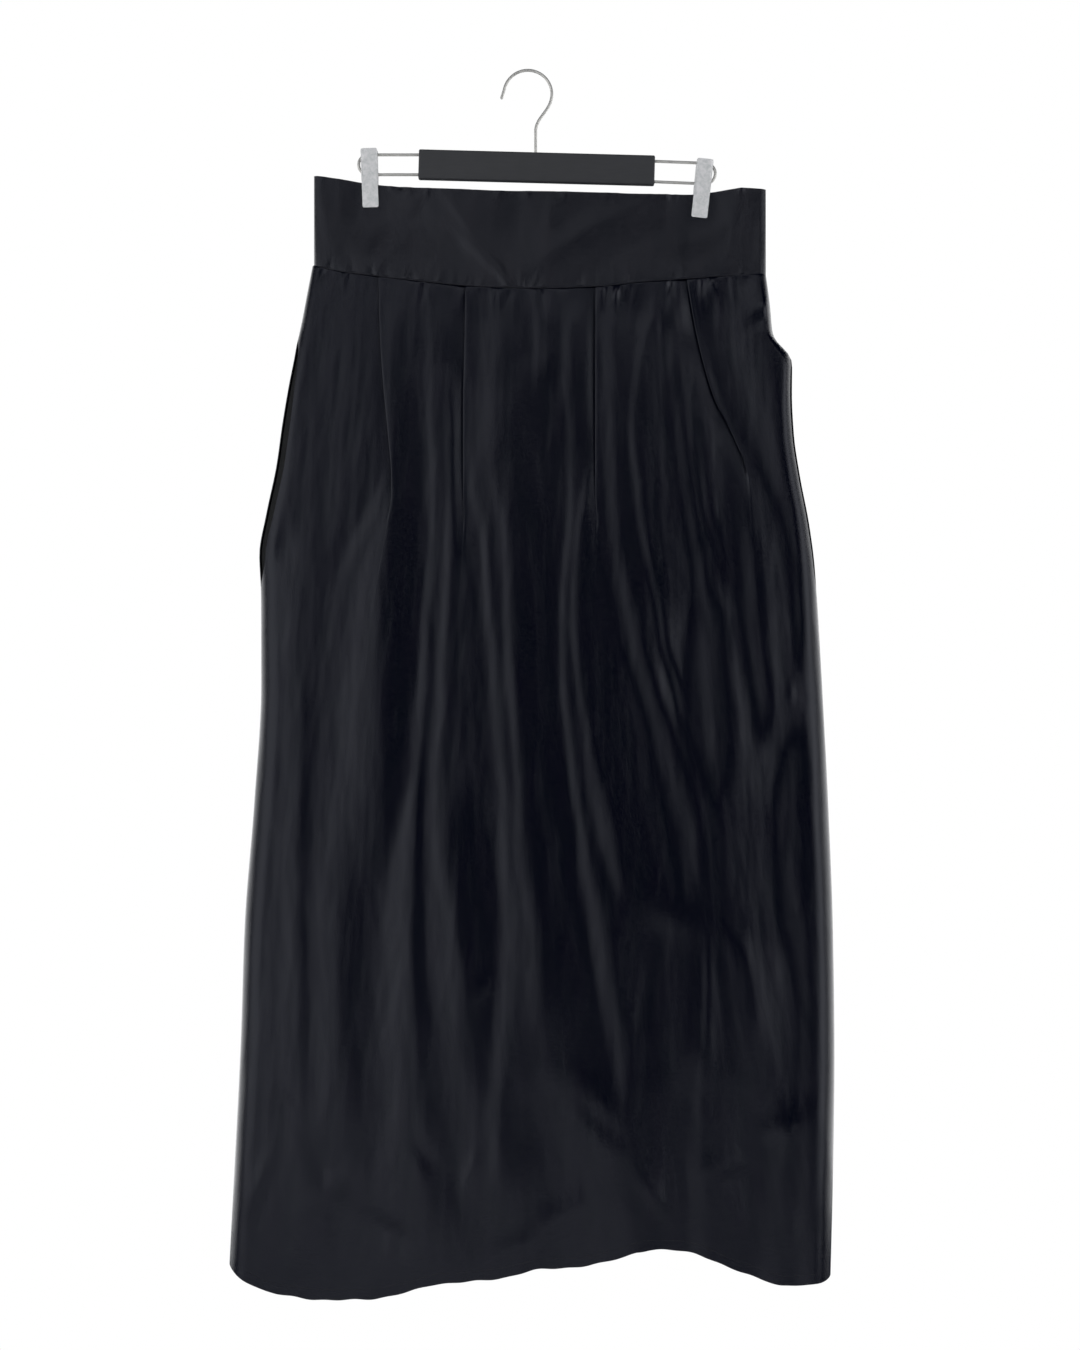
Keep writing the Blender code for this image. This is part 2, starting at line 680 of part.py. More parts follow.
def add_zip_tapes(finish):
    x = CENTRE_BACK + np.linspace(-ZIP_WIDTH / 2, ZIP_WIDTH / 2, 4)
    inset = SEAM_GAP + ZIP_WALL / 2
    top_z = read(WAIST, "x", "top", CENTRE_BACK) - ZIP_TOP
    seam_z = read(WAIST, "x", "seam", CENTRE_BACK)
    hem_z = read(BACK_HEM, "x", "z", CENTRE_BACK)
    rows = []
    for share in BAND_ROWS:
        y = band_depth(x, share) + SIDE_GAP - BAND_CLOTH / 2 - inset
        rows.append((x, y, np.full(len(x), top_z + (seam_z - top_z) * share)))
    for drop in DROP_ROWS:
        if 0 < drop < ZIP_STOP_DROP:
            y = back_inside(x, drop) - inset
            rows.append((x, y, np.full(len(x), seam_z + (hem_z - seam_z) * drop)))
    add_wall("zip_tapes", rows, ZIP_WALL, finish)


def add_zip_slider(finish):
    """A plate with two lugs that hold the pull tab's pin."""
    plate_y, pin_y, pin_z = zip_pin()
    plate = box((SLIDER_WIDTH, SLIDER_PLATE, SLIDER_HEIGHT), (CENTRE_BACK, plate_y, pin_z))
    slider = add_object("zip_slider", plate, finish)
    lug_x = KNUCKLE_WIDTH / 2 + SOCKET_GAP + LUG_WIDTH / 2
    foot_size = (LUG_WIDTH, pin_y - plate_y, LUG_FOOT)
    for name, x in (("left_lug", CENTRE_BACK - lug_x), ("right_lug", CENTRE_BACK + lug_x)):
        combine(slider, name, rod_along_x(LUG_RADIUS, LUG_WIDTH, (x, pin_y, pin_z)), "UNION")
        foot = box(foot_size, (x, (pin_y + plate_y) / 2, pin_z))
        combine(slider, name + "_foot", foot, "UNION")
    pin = rod_along_x(PIN_RADIUS, 2 * lug_x, (CENTRE_BACK, pin_y, pin_z))
    combine(slider, "pin", pin, "UNION")


def add_zip_tab(finish):
    """A teardrop plate on a knuckle that turns on the slider's pin."""
    _, pin_y, pin_z = zip_pin()
    half, neck = TAB_WIDTH / 2, TAB_NECK / 2
    round_z = TAB_ROUND - TAB_LENGTH
    right_side = [(neck, 0.0), (neck, -TAB_SHOULDER), (half, round_z)]
    outline = [(-x, z) for x, z in right_side]
    for step in range(1, TAB_STEPS):
        angle = math.pi * (1 + step / TAB_STEPS)
        outline.append((half * math.cos(angle), round_z + TAB_ROUND * math.sin(angle)))
    outline += right_side[::-1]
    plate = bmesh.new()
    ring = [plate.verts.new((CENTRE_BACK + x, pin_y - TAB_PLATE / 2, pin_z + z))
            for x, z in outline]
    face = plate.faces.new(ring)
    pushed = bmesh.ops.extrude_face_region(plate, geom=[face])
    moved = [item for item in pushed["geom"] if isinstance(item, bmesh.types.BMVert)]
    bmesh.ops.translate(plate, vec=(0.0, TAB_PLATE, 0.0), verts=moved)
    tab = add_object("zip_tab", plate, finish)
    pin = (CENTRE_BACK, pin_y, pin_z)
    combine(tab, "knuckle", rod_along_x(KNUCKLE_RADIUS, KNUCKLE_WIDTH, pin), "UNION")
    hole = rod_along_x(KNUCKLE_HOLE, 2 * KNUCKLE_WIDTH, pin)
    combine(tab, "pin_hole", hole, "DIFFERENCE")


def tube(path, radius, sides=10):
    """A round wire along a flat path of (x, z) places in the middle plane."""
    made = bmesh.new()
    places = [Vector((x, 0.0, z)) for x, z in path]
    rings = []
    for i, place in enumerate(places):
        ahead = places[min(i + 1, len(places) - 1)] - places[max(i - 1, 0)]
        ahead.normalize()
        sideways = Vector((ahead.z, 0.0, -ahead.x))
        ring = []
        for k in range(sides):
            angle = 2 * math.pi * (k + 0.5) / sides
            spoke = sideways * math.cos(angle) + Vector((0.0, 1.0, 0.0)) * math.sin(angle)
            ring.append(made.verts.new(place + radius * spoke))
        rings.append(ring)
    for first, second in zip(rings, rings[1:]):
        for k in range(sides):
            made.faces.new((first[k], first[(k + 1) % sides],
                            second[(k + 1) % sides], second[k]))
    made.faces.new(rings[0])
    made.faces.new(rings[-1])
    return made


def hook_path():
    """Up from the bar, through a bend, round the hook and down to its open tip."""
    bar_top = BAR_CENTRE[1] + BAR_HEIGHT / 2
    centre = np.array((0.0, WIRE_RADIUS - HOOK_RADIUS))
    first, last = HOOK_ARC
    stem_top = np.array((HOOK_STEM_X, HOOK_BEND_Z))
    arc_start = centre + HOOK_RADIUS * np.array((math.cos(first), math.sin(first)))
    arc_heading = np.array((-math.sin(first), math.cos(first)))
    bend = (stem_top, stem_top + (0.0, HOOK_BEND_REACH),
            arc_start - HOOK_BEND_REACH * arc_heading, arc_start)
    path = [(HOOK_STEM_X, bar_top - SOCKET_DEPTH + SOCKET_GAP)]
    for step in range(BEND_STEPS):
        t = step / BEND_STEPS
        weights = ((1 - t) ** 3, 3 * t * (1 - t) ** 2, 3 * t * t * (1 - t), t ** 3)
        path.append(tuple(sum(weight * place for weight, place in zip(weights, bend))))
    for step in range(HOOK_STEPS + 1):
        angle = first + (last - first) * step / HOOK_STEPS
        path.append(tuple(centre + HOOK_RADIUS * np.array((math.cos(angle), math.sin(angle)))))
    path.append(HOOK_TIP)
    return path


def loop_path(end, towards_bar):
    """A wire loop: out of the bar, round the clip's spring and back into the bar."""
    bar_end = BAR_CENTRE[0] - towards_bar * BAR_LENGTH / 2
    inner_x = bar_end + towards_bar * (SOCKET_DEPTH - SOCKET_GAP)
    inner_z = end["loop_z"] - end["slope"] * abs(inner_x - end["loop_x"])
    radius = end["loop_radius"]
    path = [(inner_x, inner_z + radius)]
    for step in range(LOOP_STEPS + 1):
        angle = math.pi * (0.5 + step / LOOP_STEPS)
        path.append((end["loop_x"] + towards_bar * radius * math.cos(angle),
                     end["loop_z"] + radius * math.sin(angle)))
    path.append((inner_x, inner_z - radius))
    return path


def add_socket(bar, name, inner, outer):
    """A blind hole in the bar round the end of a wire."""
    inner, outer = np.array(inner), np.array(outer)
    heading = (outer - inner) / np.linalg.norm(outer - inner)
    guide = tube([tuple(inner - SOCKET_GAP * heading), tuple(outer)], WIRE_RADIUS + SOCKET_GAP)
    combine(bar, name, guide, "DIFFERENCE")


def add_hanger(bar_finish, steel):
    bar_mesh = box((BAR_LENGTH, BAR_DEPTH, BAR_HEIGHT), (0.0, 0.0, 0.0))
    bmesh.ops.bevel(bar_mesh, geom=bar_mesh.edges, offset=BAR_BEVEL, segments=3,
                    profile=0.5, affect="EDGES")
    bmesh.ops.rotate(bar_mesh, matrix=Matrix.Rotation(BAR_TILT, 3, "Y"), verts=bar_mesh.verts)
    bmesh.ops.translate(bar_mesh, vec=(BAR_CENTRE[0], 0.0, BAR_CENTRE[1]), verts=bar_mesh.verts)
    bar = add_object("hanger_bar", bar_mesh, bar_finish)

    hook = hook_path()
    add_object("hanger_hook", tube(hook, WIRE_RADIUS), steel)
    add_socket(bar, "hook_socket", hook[0], hook[1])
    for side, towards_bar in (("left", 1), ("right", -1)):
        loop = loop_path(ENDS[side], towards_bar)
        add_object("hanger_wire_" + side, tube(loop, WIRE_RADIUS), steel)
        add_socket(bar, side + "_upper_socket", loop[0], loop[1])
        add_socket(bar, side + "_lower_socket", loop[-1], loop[-2])
        add_clip(side, steel)


def add_clip(side, steel):
    """A sprung clip: two pressed steel jaws that pinch the waistband, and their spring."""
    end = ENDS[side]
    top = Vector((end["clip_top"][0], 0.0, end["clip_top"][1]))
    foot = Vector((end["clip_foot"][0], 0.0, end["clip_foot"][1]))
    lean = math.atan2(top.x - foot.x, top.z - foot.z)
    across = CLIP_WIDTH * JAW_SECTION["share"]
    for facing, name in ((-1, "front"), (1, "back")):
        rows = []
        for down, stand_off, edge in zip(*JAW.values()):
            middle = stand_off + CLIP_STEEL / 2
            y = facing * (middle - edge * JAW_SECTION["turned"])
            rows.append((across, y, np.full(len(across), -down)))
        jaw = add_wall("clip_" + side + "_" + name + "_jaw", rows, CLIP_STEEL, steel)
        jaw.location = top * MM
        jaw.rotation_euler = (0.0, lean, 0.0)
    spring_down = -(top.z - end["loop_z"])
    spring = add_object("clip_" + side + "_spring",
                        rod_along_x(CLIP_SPRING_RADIUS, CLIP_SPRING_LENGTH,
                                    (0.0, 0.0, spring_down), sides=14), steel)
    spring.location = top * MM
    spring.rotation_euler = (0.0, lean, 0.0)


clear_scene()
satin = material("black satin", CLOTH_COLOUR, 0.42)
bag_cloth = material("pocket cloth", BAG_COLOUR, 0.60)
zip_tape = material("zip tape", ZIP_COLOUR, 0.65)
zip_metal = material("black zip metal", ZIP_COLOUR, 0.35)
bar_finish = material("charcoal bar", BAR_COLOUR, 0.50)
steel = material("steel", STEEL_COLOUR, 0.32, metallic=1.0)
add_waistband(satin)
add_skirt(satin)
for pocket_side in ("left", "right"):
    add_pocket(pocket_side, bag_cloth)
add_zip_tapes(zip_tape)
add_zip_slider(zip_metal)
add_zip_tab(zip_metal)
add_hanger(bar_finish, steel)
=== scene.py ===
"""A pleated satin maxi skirt on a clip hanger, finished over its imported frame.

Sizes are in millimetres, as in the pattern, and MM turns them into metres. Sizes of the
studio and of the finishes, and those with METRES in their names, are in metres.
"""
import math

import bpy
import numpy as np
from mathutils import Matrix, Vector


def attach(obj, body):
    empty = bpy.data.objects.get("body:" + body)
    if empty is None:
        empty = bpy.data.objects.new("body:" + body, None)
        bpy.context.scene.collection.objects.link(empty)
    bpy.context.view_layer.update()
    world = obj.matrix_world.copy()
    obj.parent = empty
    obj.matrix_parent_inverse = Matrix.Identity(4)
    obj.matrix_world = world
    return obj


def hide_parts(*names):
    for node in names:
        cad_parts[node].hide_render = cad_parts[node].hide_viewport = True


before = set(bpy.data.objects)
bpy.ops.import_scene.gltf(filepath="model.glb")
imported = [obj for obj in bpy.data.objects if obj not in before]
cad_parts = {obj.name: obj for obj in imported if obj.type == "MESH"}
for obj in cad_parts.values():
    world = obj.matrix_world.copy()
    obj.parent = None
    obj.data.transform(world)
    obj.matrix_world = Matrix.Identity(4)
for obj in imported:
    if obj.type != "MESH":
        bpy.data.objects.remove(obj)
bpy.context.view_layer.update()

# The studio: a level camera square to the skirt, soft white panels on both sides, above and
# low in front and behind, white air behind the skirt, and a round pale floor under it.
CAMERA_PLACE = (0.0113, -2.2, -0.5585)
PICTURE_HEIGHT_METRES = 1350 / 1080
ROOM_GLOW = (0.012, 0.019, 0.030, 1.0)
FLOOR_RADIUS_METRES = 1.4
FLOOR_Z_METRES = -1.60
FLOOR_SIDES = 128
# place, point it faces, width, height, brightness (white paper is 1)
SOFT_PANELS = {
    "left_panel": ((-1.52, -1.28, -0.50), (0.0, 0.0, -0.60), 2.6, 2.0, 1.30),
    "right_panel": ((1.96, -1.00, -0.50), (0.0, 0.0, -0.60), 1.9, 2.0, 1.75),
    "upper_panel": ((0.0, -2.3, 0.84), (0.0, 0.0, -0.20), 1.3, 0.74, 0.90),
    "high_panel": ((0.0, -2.0, 1.30), (0.0, 0.0, -0.20), 2.0, 1.0, 0.70),
    "low_panel": ((0.0, -1.7, -1.35), (0.0, 0.0, -1.00), 1.5, 0.5, 0.26),
    "floor_panel": ((0.05, -1.4, -1.58), (0.0, 0.0, -1.00), 1.40, 0.5, 0.68),
    "back_left_panel": ((-1.52, 1.30, -0.50), (0.0, 0.0, -0.60), 2.4, 2.0, 1.35),
    "back_right_panel": ((1.60, 1.30, -0.50), (0.0, 0.0, -0.60), 2.2, 2.0, 1.35),
    "back_upper_panel": ((0.0, 2.3, 0.80), (0.0, 0.0, -0.20), 1.4, 0.8, 0.80),
    "back_floor_panel": ((0.0, 1.4, -1.58), (0.0, 0.0, -1.00), 1.40, 0.5, 0.60),
}

scene = bpy.context.scene
scene.view_settings.view_transform = "Standard"
camera_data = bpy.data.cameras.new("camera")
camera_data.sensor_fit = "VERTICAL"
camera_data.angle_y = 2 * math.atan(PICTURE_HEIGHT_METRES / 2 / -CAMERA_PLACE[1])
camera = bpy.data.objects.new("camera", camera_data)
camera.location = CAMERA_PLACE
camera.rotation_euler = (math.pi / 2, 0.0, 0.0)
scene.collection.objects.link(camera)
scene.camera = camera

for name, (place, aim, width, height, brightness) in SOFT_PANELS.items():
    panel = bpy.data.lights.new(name, "AREA")
    panel.shape = "RECTANGLE"
    panel.size = width
    panel.size_y = height
    panel.energy = brightness * math.pi * width * height
    lamp = bpy.data.objects.new(name, panel)
    lamp.location = place
    lamp.rotation_euler = (Vector(aim) - Vector(place)).to_track_quat("-Z", "Y").to_euler()
    lamp.visible_camera = False
    scene.collection.objects.link(lamp)

room = bpy.data.worlds.new("room")
room.use_nodes = True
room_nodes, room_links = room.node_tree.nodes, room.node_tree.links
glow = room_nodes["Background"]
glow.inputs["Color"].default_value = ROOM_GLOW
white_air = room_nodes.new("ShaderNodeBackground")
white_air.inputs["Color"].default_value = (1.0, 1.0, 1.0, 1.0)
seen = room_nodes.new("ShaderNodeLightPath")
either = room_nodes.new("ShaderNodeMixShader")
room_links.new(seen.outputs["Is Camera Ray"], either.inputs["Fac"])
room_links.new(glow.outputs["Background"], either.inputs[1])
room_links.new(white_air.outputs["Background"], either.inputs[2])
room_links.new(either.outputs["Shader"], room_nodes["World Output"].inputs["Surface"])
scene.world = room


def feed(tree, socket, value):
    """Give a node's input a value, or a link from another node."""
    if isinstance(value, bpy.types.NodeSocket):
        tree.links.new(value, socket)
    else:
        socket.default_value = value


def add_node(tree, kind, choices=(), **sockets):
    """A node in a tree, with its choices, and inputs by name (an underscore is a space)."""
    made = tree.nodes.new(kind)
    for name, value in dict(choices).items():
        setattr(made, name, value)
    for name, value in sockets.items():
        feed(tree, made.inputs[name.replace("_", " ")], value)
    return made


def new_finish(name, roughness=0.5, **constants):
    """A material and its Principled shader, with the values that are the same all over."""
    made = bpy.data.materials.new(name)
    made.use_nodes = True
    shader = made.node_tree.nodes["Principled BSDF"]
    for socket, value in dict(constants, Roughness=roughness).items():
        shader.inputs[socket.replace("_", " ")].default_value = value
    return made, made.node_tree, shader


def object_place(tree):
    return add_node(tree, "ShaderNodeTexCoord").outputs["Object"]


def two_colours(tree, pattern, first, second):
    """A colour between two others, as a pattern says."""
    mix = add_node(tree, "ShaderNodeMix", {"data_type": "RGBA"}, Factor=pattern,
                   A=(*first, 1.0), B=(*second, 1.0))
    return mix.outputs["Result"]


MM = 0.001


def add_mesh(name, places, faces, finish, sharp_degrees=50):
    """A smooth-shaded piece at the origin from places in millimetres."""
    mesh = bpy.data.meshes.new(name)
    mesh.from_pydata((np.asarray(places, float) * MM).tolist(), [], faces)
    mesh.validate()
    mesh.materials.append(finish)
    mesh.shade_smooth()
    mesh.set_sharp_from_angle(angle=math.radians(sharp_degrees))
    made = bpy.data.objects.new(name, mesh)
    scene.collection.objects.link(made)
    return made


floor_paint, tree, shader = new_finish("pale floor", roughness=0.7)
mottle = add_node(tree, "ShaderNodeTexNoise", Scale=6.0, Detail=4.0, Vector=object_place(tree))
tree.links.new(two_colours(tree, mottle.outputs["Fac"], (0.80, 0.80, 0.79), (0.86, 0.86, 0.85)),
               shader.inputs["Base Color"])
turn = np.linspace(0.0, 2 * math.pi, FLOOR_SIDES, endpoint=False)
floor_rim = np.stack((np.cos(turn), np.sin(turn), np.zeros(FLOOR_SIDES)), axis=1)
floor_rim = floor_rim * FLOOR_RADIUS_METRES / MM + (0.0, 0.0, FLOOR_Z_METRES / MM)
floor = add_mesh("floor", floor_rim, [tuple(range(FLOOR_SIDES))], floor_paint)


# The hanger's bar: a flat charcoal bar of moulded plastic with a fine grain, eased edges
# and blind sockets, into which the hook and both wire loops are pressed.

def spread(tree, pattern, low_value, high_value, low=0.3, high=0.7):
    """Turn a pattern, most of which lies from low to high, into a number between two values."""
    ramp = add_node(tree, "ShaderNodeMapRange", Value=pattern, From_Min=low, From_Max=high,
                    To_Min=low_value, To_Max=high_value)
    return ramp.outputs["Result"]


def vary(tree, shader, shade, colours, gloss, roughness, relief=None, depth=0.0, strength=0.5):
    """Let patterns vary a finish: its colour, its roughness, and a relief of a depth in metres."""
    tree.links.new(two_colours(tree, shade, *colours), shader.inputs["Base Color"])
    tree.links.new(spread(tree, gloss, *roughness), shader.inputs["Roughness"])
    if relief is not None:
        bump = add_node(tree, "ShaderNodeBump", Strength=strength, Distance=depth, Height=relief)
        tree.links.new(bump.outputs["Normal"], shader.inputs["Normal"])


bar_paint, tree, shader = new_finish("charcoal bar", roughness=0.5)
place = object_place(tree)
stretched = add_node(tree, "ShaderNodeMapping", Vector=place, Scale=(60.0, 500.0, 500.0))
grain = add_node(tree, "ShaderNodeTexNoise", Vector=stretched.outputs["Vector"], Scale=1.0,
                 Detail=5.0, Roughness=0.6)
scuffs = add_node(tree, "ShaderNodeTexNoise", Vector=place, Scale=45.0, Detail=6.0)
vary(tree, shader, grain.outputs["Fac"], ((0.031, 0.032, 0.037), (0.049, 0.051, 0.056)),
     scuffs.outputs["Fac"], (0.42, 0.60), relief=grain.outputs["Fac"], depth=0.0001)
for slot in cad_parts["hanger_bar"].material_slots:
    slot.material = bar_paint


# The hook and the two wire loops: drawn steel wire, 2.7 mm thick, bent cold. The hook's tip
# is rounded off, and every other end is pressed into a socket of the bar.
WIRE_RADIUS = 1.35
WIRE_SIDES = 20
SOCKET_GAP = 0.3
SOCKET_DEPTH = 8.0
BAR_LENGTH = 218.5
BAR_HEIGHT = 27.4
BAR_CENTRE = (8.2, -88.9)
HOOK_RADIUS = 22.2
HOOK_TIP = (-24.2, -24.2)
HOOK_STEM_X = 7.2
HOOK_BEND_Z = -56.0
HOOK_BEND_REACH = 11.0
HOOK_ARC = (math.radians(-27), math.radians(168))
BEND_STEPS = 28
HOOK_STEPS = 90
LOOP_STEPS = 48
LOOP_END_ROOM = 1.5
# Both ends of the hanger: its wire loop, and the top and foot of its clip
ENDS = {
    "left": dict(loop_x=-147.4, loop_z=-86.1, loop_radius=9.2, slope=0.0, towards_bar=1,
                 clip_top=(-146.9, -71.9), clip_foot=(-145.3, -126.2)),
    "right": dict(loop_x=164.1, loop_z=-94.2, loop_radius=9.5, slope=-0.040, towards_bar=-1,
                  clip_top=(164.2, -81.6), clip_foot=(158.5, -135.3)),
}


def new_group(name, inputs, outputs):
    """A shader node group with named inputs (kind and value) and outputs (kind)."""
    group = bpy.data.node_groups.new(name, "ShaderNodeTree")
    for socket_name, kind, value in inputs:
        socket = group.interface.new_socket(socket_name, in_out="INPUT", socket_type=kind)
        if value is not None:
            socket.default_value = value
    for socket_name, kind in outputs:
        group.interface.new_socket(socket_name, in_out="OUTPUT", socket_type=kind)
    return group, group.nodes.new("NodeGroupInput"), group.nodes.new("NodeGroupOutput")


def use_group(tree, group, **sockets):
    made = tree.nodes.new("ShaderNodeGroup")
    made.node_tree = group
    for name, value in sockets.items():
        feed(tree, made.inputs[name.replace("_", " ")], value)
    return made


worn_metal, taken, given = new_group(
    "worn metal",
    [("Place", "NodeSocketVector", None), ("Patch Scale", "NodeSocketFloat", 90.0),
     ("Scratch Scale", "NodeSocketFloat", 1400.0)],
    [("Patches", "NodeSocketFloat"), ("Scratches", "NodeSocketFloat")])
patches = add_node(worn_metal, "ShaderNodeTexNoise", Vector=taken.outputs["Place"],
                   Scale=taken.outputs["Patch Scale"], Detail=5.0, Roughness=0.6,
                   Distortion=0.6)
drawn_out = add_node(worn_metal, "ShaderNodeMapping", Vector=taken.outputs["Place"],
                     Scale=(1.0, 1.0, 0.06))
scratches = add_node(worn_metal, "ShaderNodeTexNoise", Vector=drawn_out.outputs["Vector"],
                     Scale=taken.outputs["Scratch Scale"], Detail=3.0, Roughness=0.7)
worn_metal.links.new(patches.outputs["Fac"], given.inputs["Patches"])
worn_metal.links.new(scratches.outputs["Fac"], given.inputs["Scratches"])


def wear_on(tree, patch_scale, scratch_scale):
    """The patches and scratches of a worn metal, at a finish's own scales."""
    wear = use_group(tree, worn_metal, Patch_Scale=patch_scale, Scratch_Scale=scratch_scale,
                     Place=object_place(tree))
    return wear.outputs["Patches"], wear.outputs["Scratches"]


wire_steel, tree, shader = new_finish("drawn steel wire", roughness=0.4, Metallic=0.45)
patches, scratches = wear_on(tree, 160.0, 2200.0)
vary(tree, shader, patches, ((0.60, 0.59, 0.56), (0.78, 0.77, 0.74)),
     scratches, (0.25, 0.48), relief=scratches, depth=0.00005, strength=0.3)


def round_wire(name, path, radius, finish, sides=WIRE_SIDES):
    """A round wire along a path of places, with domed ends."""
    path = np.asarray(path, float)
    start, stop = path[0] - path[1], path[-1] - path[-2]
    start *= radius / np.linalg.norm(start)
    stop *= radius / np.linalg.norm(stop)
    dome = np.radians((82.0, 62.0, 40.0, 20.0))
    rings = [path[0] + start * math.sin(angle) for angle in dome]
    rings += list(path) + [path[-1] + stop * math.sin(angle) for angle in dome[::-1]]
    widths = [radius * math.cos(angle) for angle in dome]
    widths += [radius] * len(path) + widths[::-1]
    rings = np.array(rings)
    heading = np.gradient(rings, axis=0)
    heading /= np.linalg.norm(heading, axis=1)[:, None]
    side = np.cross(heading[0], (0.0, 1.0, 0.0))
    if np.linalg.norm(side) < 0.1:
        side = np.cross(heading[0], (0.0, 0.0, 1.0))
    places = []
    angles = np.linspace(0.0, 2 * math.pi, sides, endpoint=False)
    for ring, along, width in zip(rings, heading, widths):
        side = side - along * np.dot(side, along)
        side /= np.linalg.norm(side)
        across = np.cross(along, side)
        places.append(ring + width * (np.cos(angles)[:, None] * side
                                      + np.sin(angles)[:, None] * across))
    faces = []
    for r in range(len(rings) - 1):
        for k in range(sides):
            low, high = r * sides, (r + 1) * sides
            after = (k + 1) % sides
            faces.append((low + k, low + after, high + after, high + k))
    faces.append(tuple(range(sides))[::-1])
    faces.append(tuple((len(rings) - 1) * sides + k for k in range(sides)))
    return add_mesh(name, np.concatenate(places), faces, finish, sharp_degrees=60)


def hook_path():
    """Up from the bar, through a bend, round the hook and down to its open tip."""
    bar_top = BAR_CENTRE[1] + BAR_HEIGHT / 2
    centre = np.array((0.0, WIRE_RADIUS - HOOK_RADIUS))
    first, last = HOOK_ARC
    stem_top = np.array((HOOK_STEM_X, HOOK_BEND_Z))
    arc_start = centre + HOOK_RADIUS * np.array((math.cos(first), math.sin(first)))
    arc_heading = np.array((-math.sin(first), math.cos(first)))
    bend = (stem_top, stem_top + (0.0, HOOK_BEND_REACH),
            arc_start - HOOK_BEND_REACH * arc_heading, arc_start)
    path = [np.array((HOOK_STEM_X, bar_top - SOCKET_DEPTH + SOCKET_GAP))]
    for step in range(BEND_STEPS):
        t = step / BEND_STEPS
        weights = ((1 - t) ** 3, 3 * t * (1 - t) ** 2, 3 * t * t * (1 - t), t ** 3)
        path.append(sum(weight * corner for weight, corner in zip(weights, bend)))
    for step in range(HOOK_STEPS + 1):
        angle = first + (last - first) * step / HOOK_STEPS
        path.append(centre + HOOK_RADIUS * np.array((math.cos(angle), math.sin(angle))))
    path.append(np.array(HOOK_TIP))
    return [(x, 0.0, z) for x, z in path]


def loop_path(end):
    """A wire loop: out of the bar, round the clip's spring and back into the bar."""
    bar_end = BAR_CENTRE[0] - end["towards_bar"] * BAR_LENGTH / 2
    inner_x = bar_end + end["towards_bar"] * (SOCKET_DEPTH - SOCKET_GAP - LOOP_END_ROOM)
    inner_z = end["loop_z"] - end["slope"] * abs(inner_x - end["loop_x"])
    radius = end["loop_radius"]
    path = [(inner_x, 0.0, inner_z + radius)]
    for step in range(LOOP_STEPS + 1):
        angle = math.pi * (0.5 + step / LOOP_STEPS)
        path.append((end["loop_x"] + end["towards_bar"] * radius * math.cos(angle), 0.0,
                     end["loop_z"] + radius * math.sin(angle)))
    path.append((inner_x, 0.0, inner_z - radius))
    return path


wires = [("hook", hook_path(), "hanger_hook")]
wires += [("wire_loop_" + side, loop_path(end), "hanger_wire_" + side)
          for side, end in ENDS.items()]
for name, path, node in wires:
    wire = round_wire(name, path, WIRE_RADIUS, wire_steel)
    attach(wire, "skirt_on_hanger")
    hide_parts(node)


# The clips: each is two jaws pressed from 0.8 mm sheet steel with turned-in sides, zinc
# plated and worn, and a coil spring on the wire loop that shuts them on the waistband.
CLIP_WIDTH = 14.8
CLIP_STEEL = 0.8
CLIP_CORNER = 1.6
CLIP_ROWS = 72
CLIP_COLUMNS = 25
CLIP_CURL_START = 0.38
SPRING_RADIUS = 2.55
SPRING_WIRE = 0.42
SPRING_LENGTH = 12.0
SPRING_TURNS = 11
SPRING_STEPS = 16


def table(names, rows):
    """Give each named column of a short table as an array."""
    return {name: np.array(column, float) for name, column in zip(names.split(), zip(*rows))}


def smooth_curve(knots, values, at):
    """Read a smooth curve through a table's points that never swings past them."""
    knots, values = np.asarray(knots, float), np.asarray(values, float)
    step = np.diff(knots)
    slope = np.diff(values) / step
    before, after = slope[:-1], slope[1:]
    same_way = before * after > 0
    total = np.where(same_way, before + after, 1.0)
    inner = np.where(same_way, 2 * before * after / total, 0.0)
    tangent = np.concatenate(([slope[0]], inner, [slope[-1]]))
    at = np.clip(np.asarray(at, float), knots[0], knots[-1])
    cell = np.clip(np.searchsorted(knots, at, side="right") - 1, 0, len(step) - 1)
    t = (at - knots[cell]) / step[cell]
    return (values[cell] * (1 + 2 * t) * (1 - t) ** 2
            + values[cell + 1] * t * t * (3 - 2 * t)
            + tangent[cell] * step[cell] * t * (1 - t) ** 2
            - tangent[cell + 1] * step[cell] * t * t * (1 - t))


def read(source, key, column, at):
    return smooth_curve(source[key], source[column], at)


def offset_section(x, y, distance):
    """Move a section sideways by a distance, with mitred corners."""
    step = np.stack((np.diff(x), np.diff(y)), axis=1)
    step /= np.linalg.norm(step, axis=1)[:, None]
    normal = np.stack((step[:, 1], -step[:, 0]), axis=1)
    before = np.vstack((normal[:1], normal))
    after = np.vstack((normal, normal[-1:]))
    mitre = (before + after) / (1 + np.sum(before * after, axis=1))[:, None]
    return x + distance * mitre[:, 0], y + distance * mitre[:, 1]


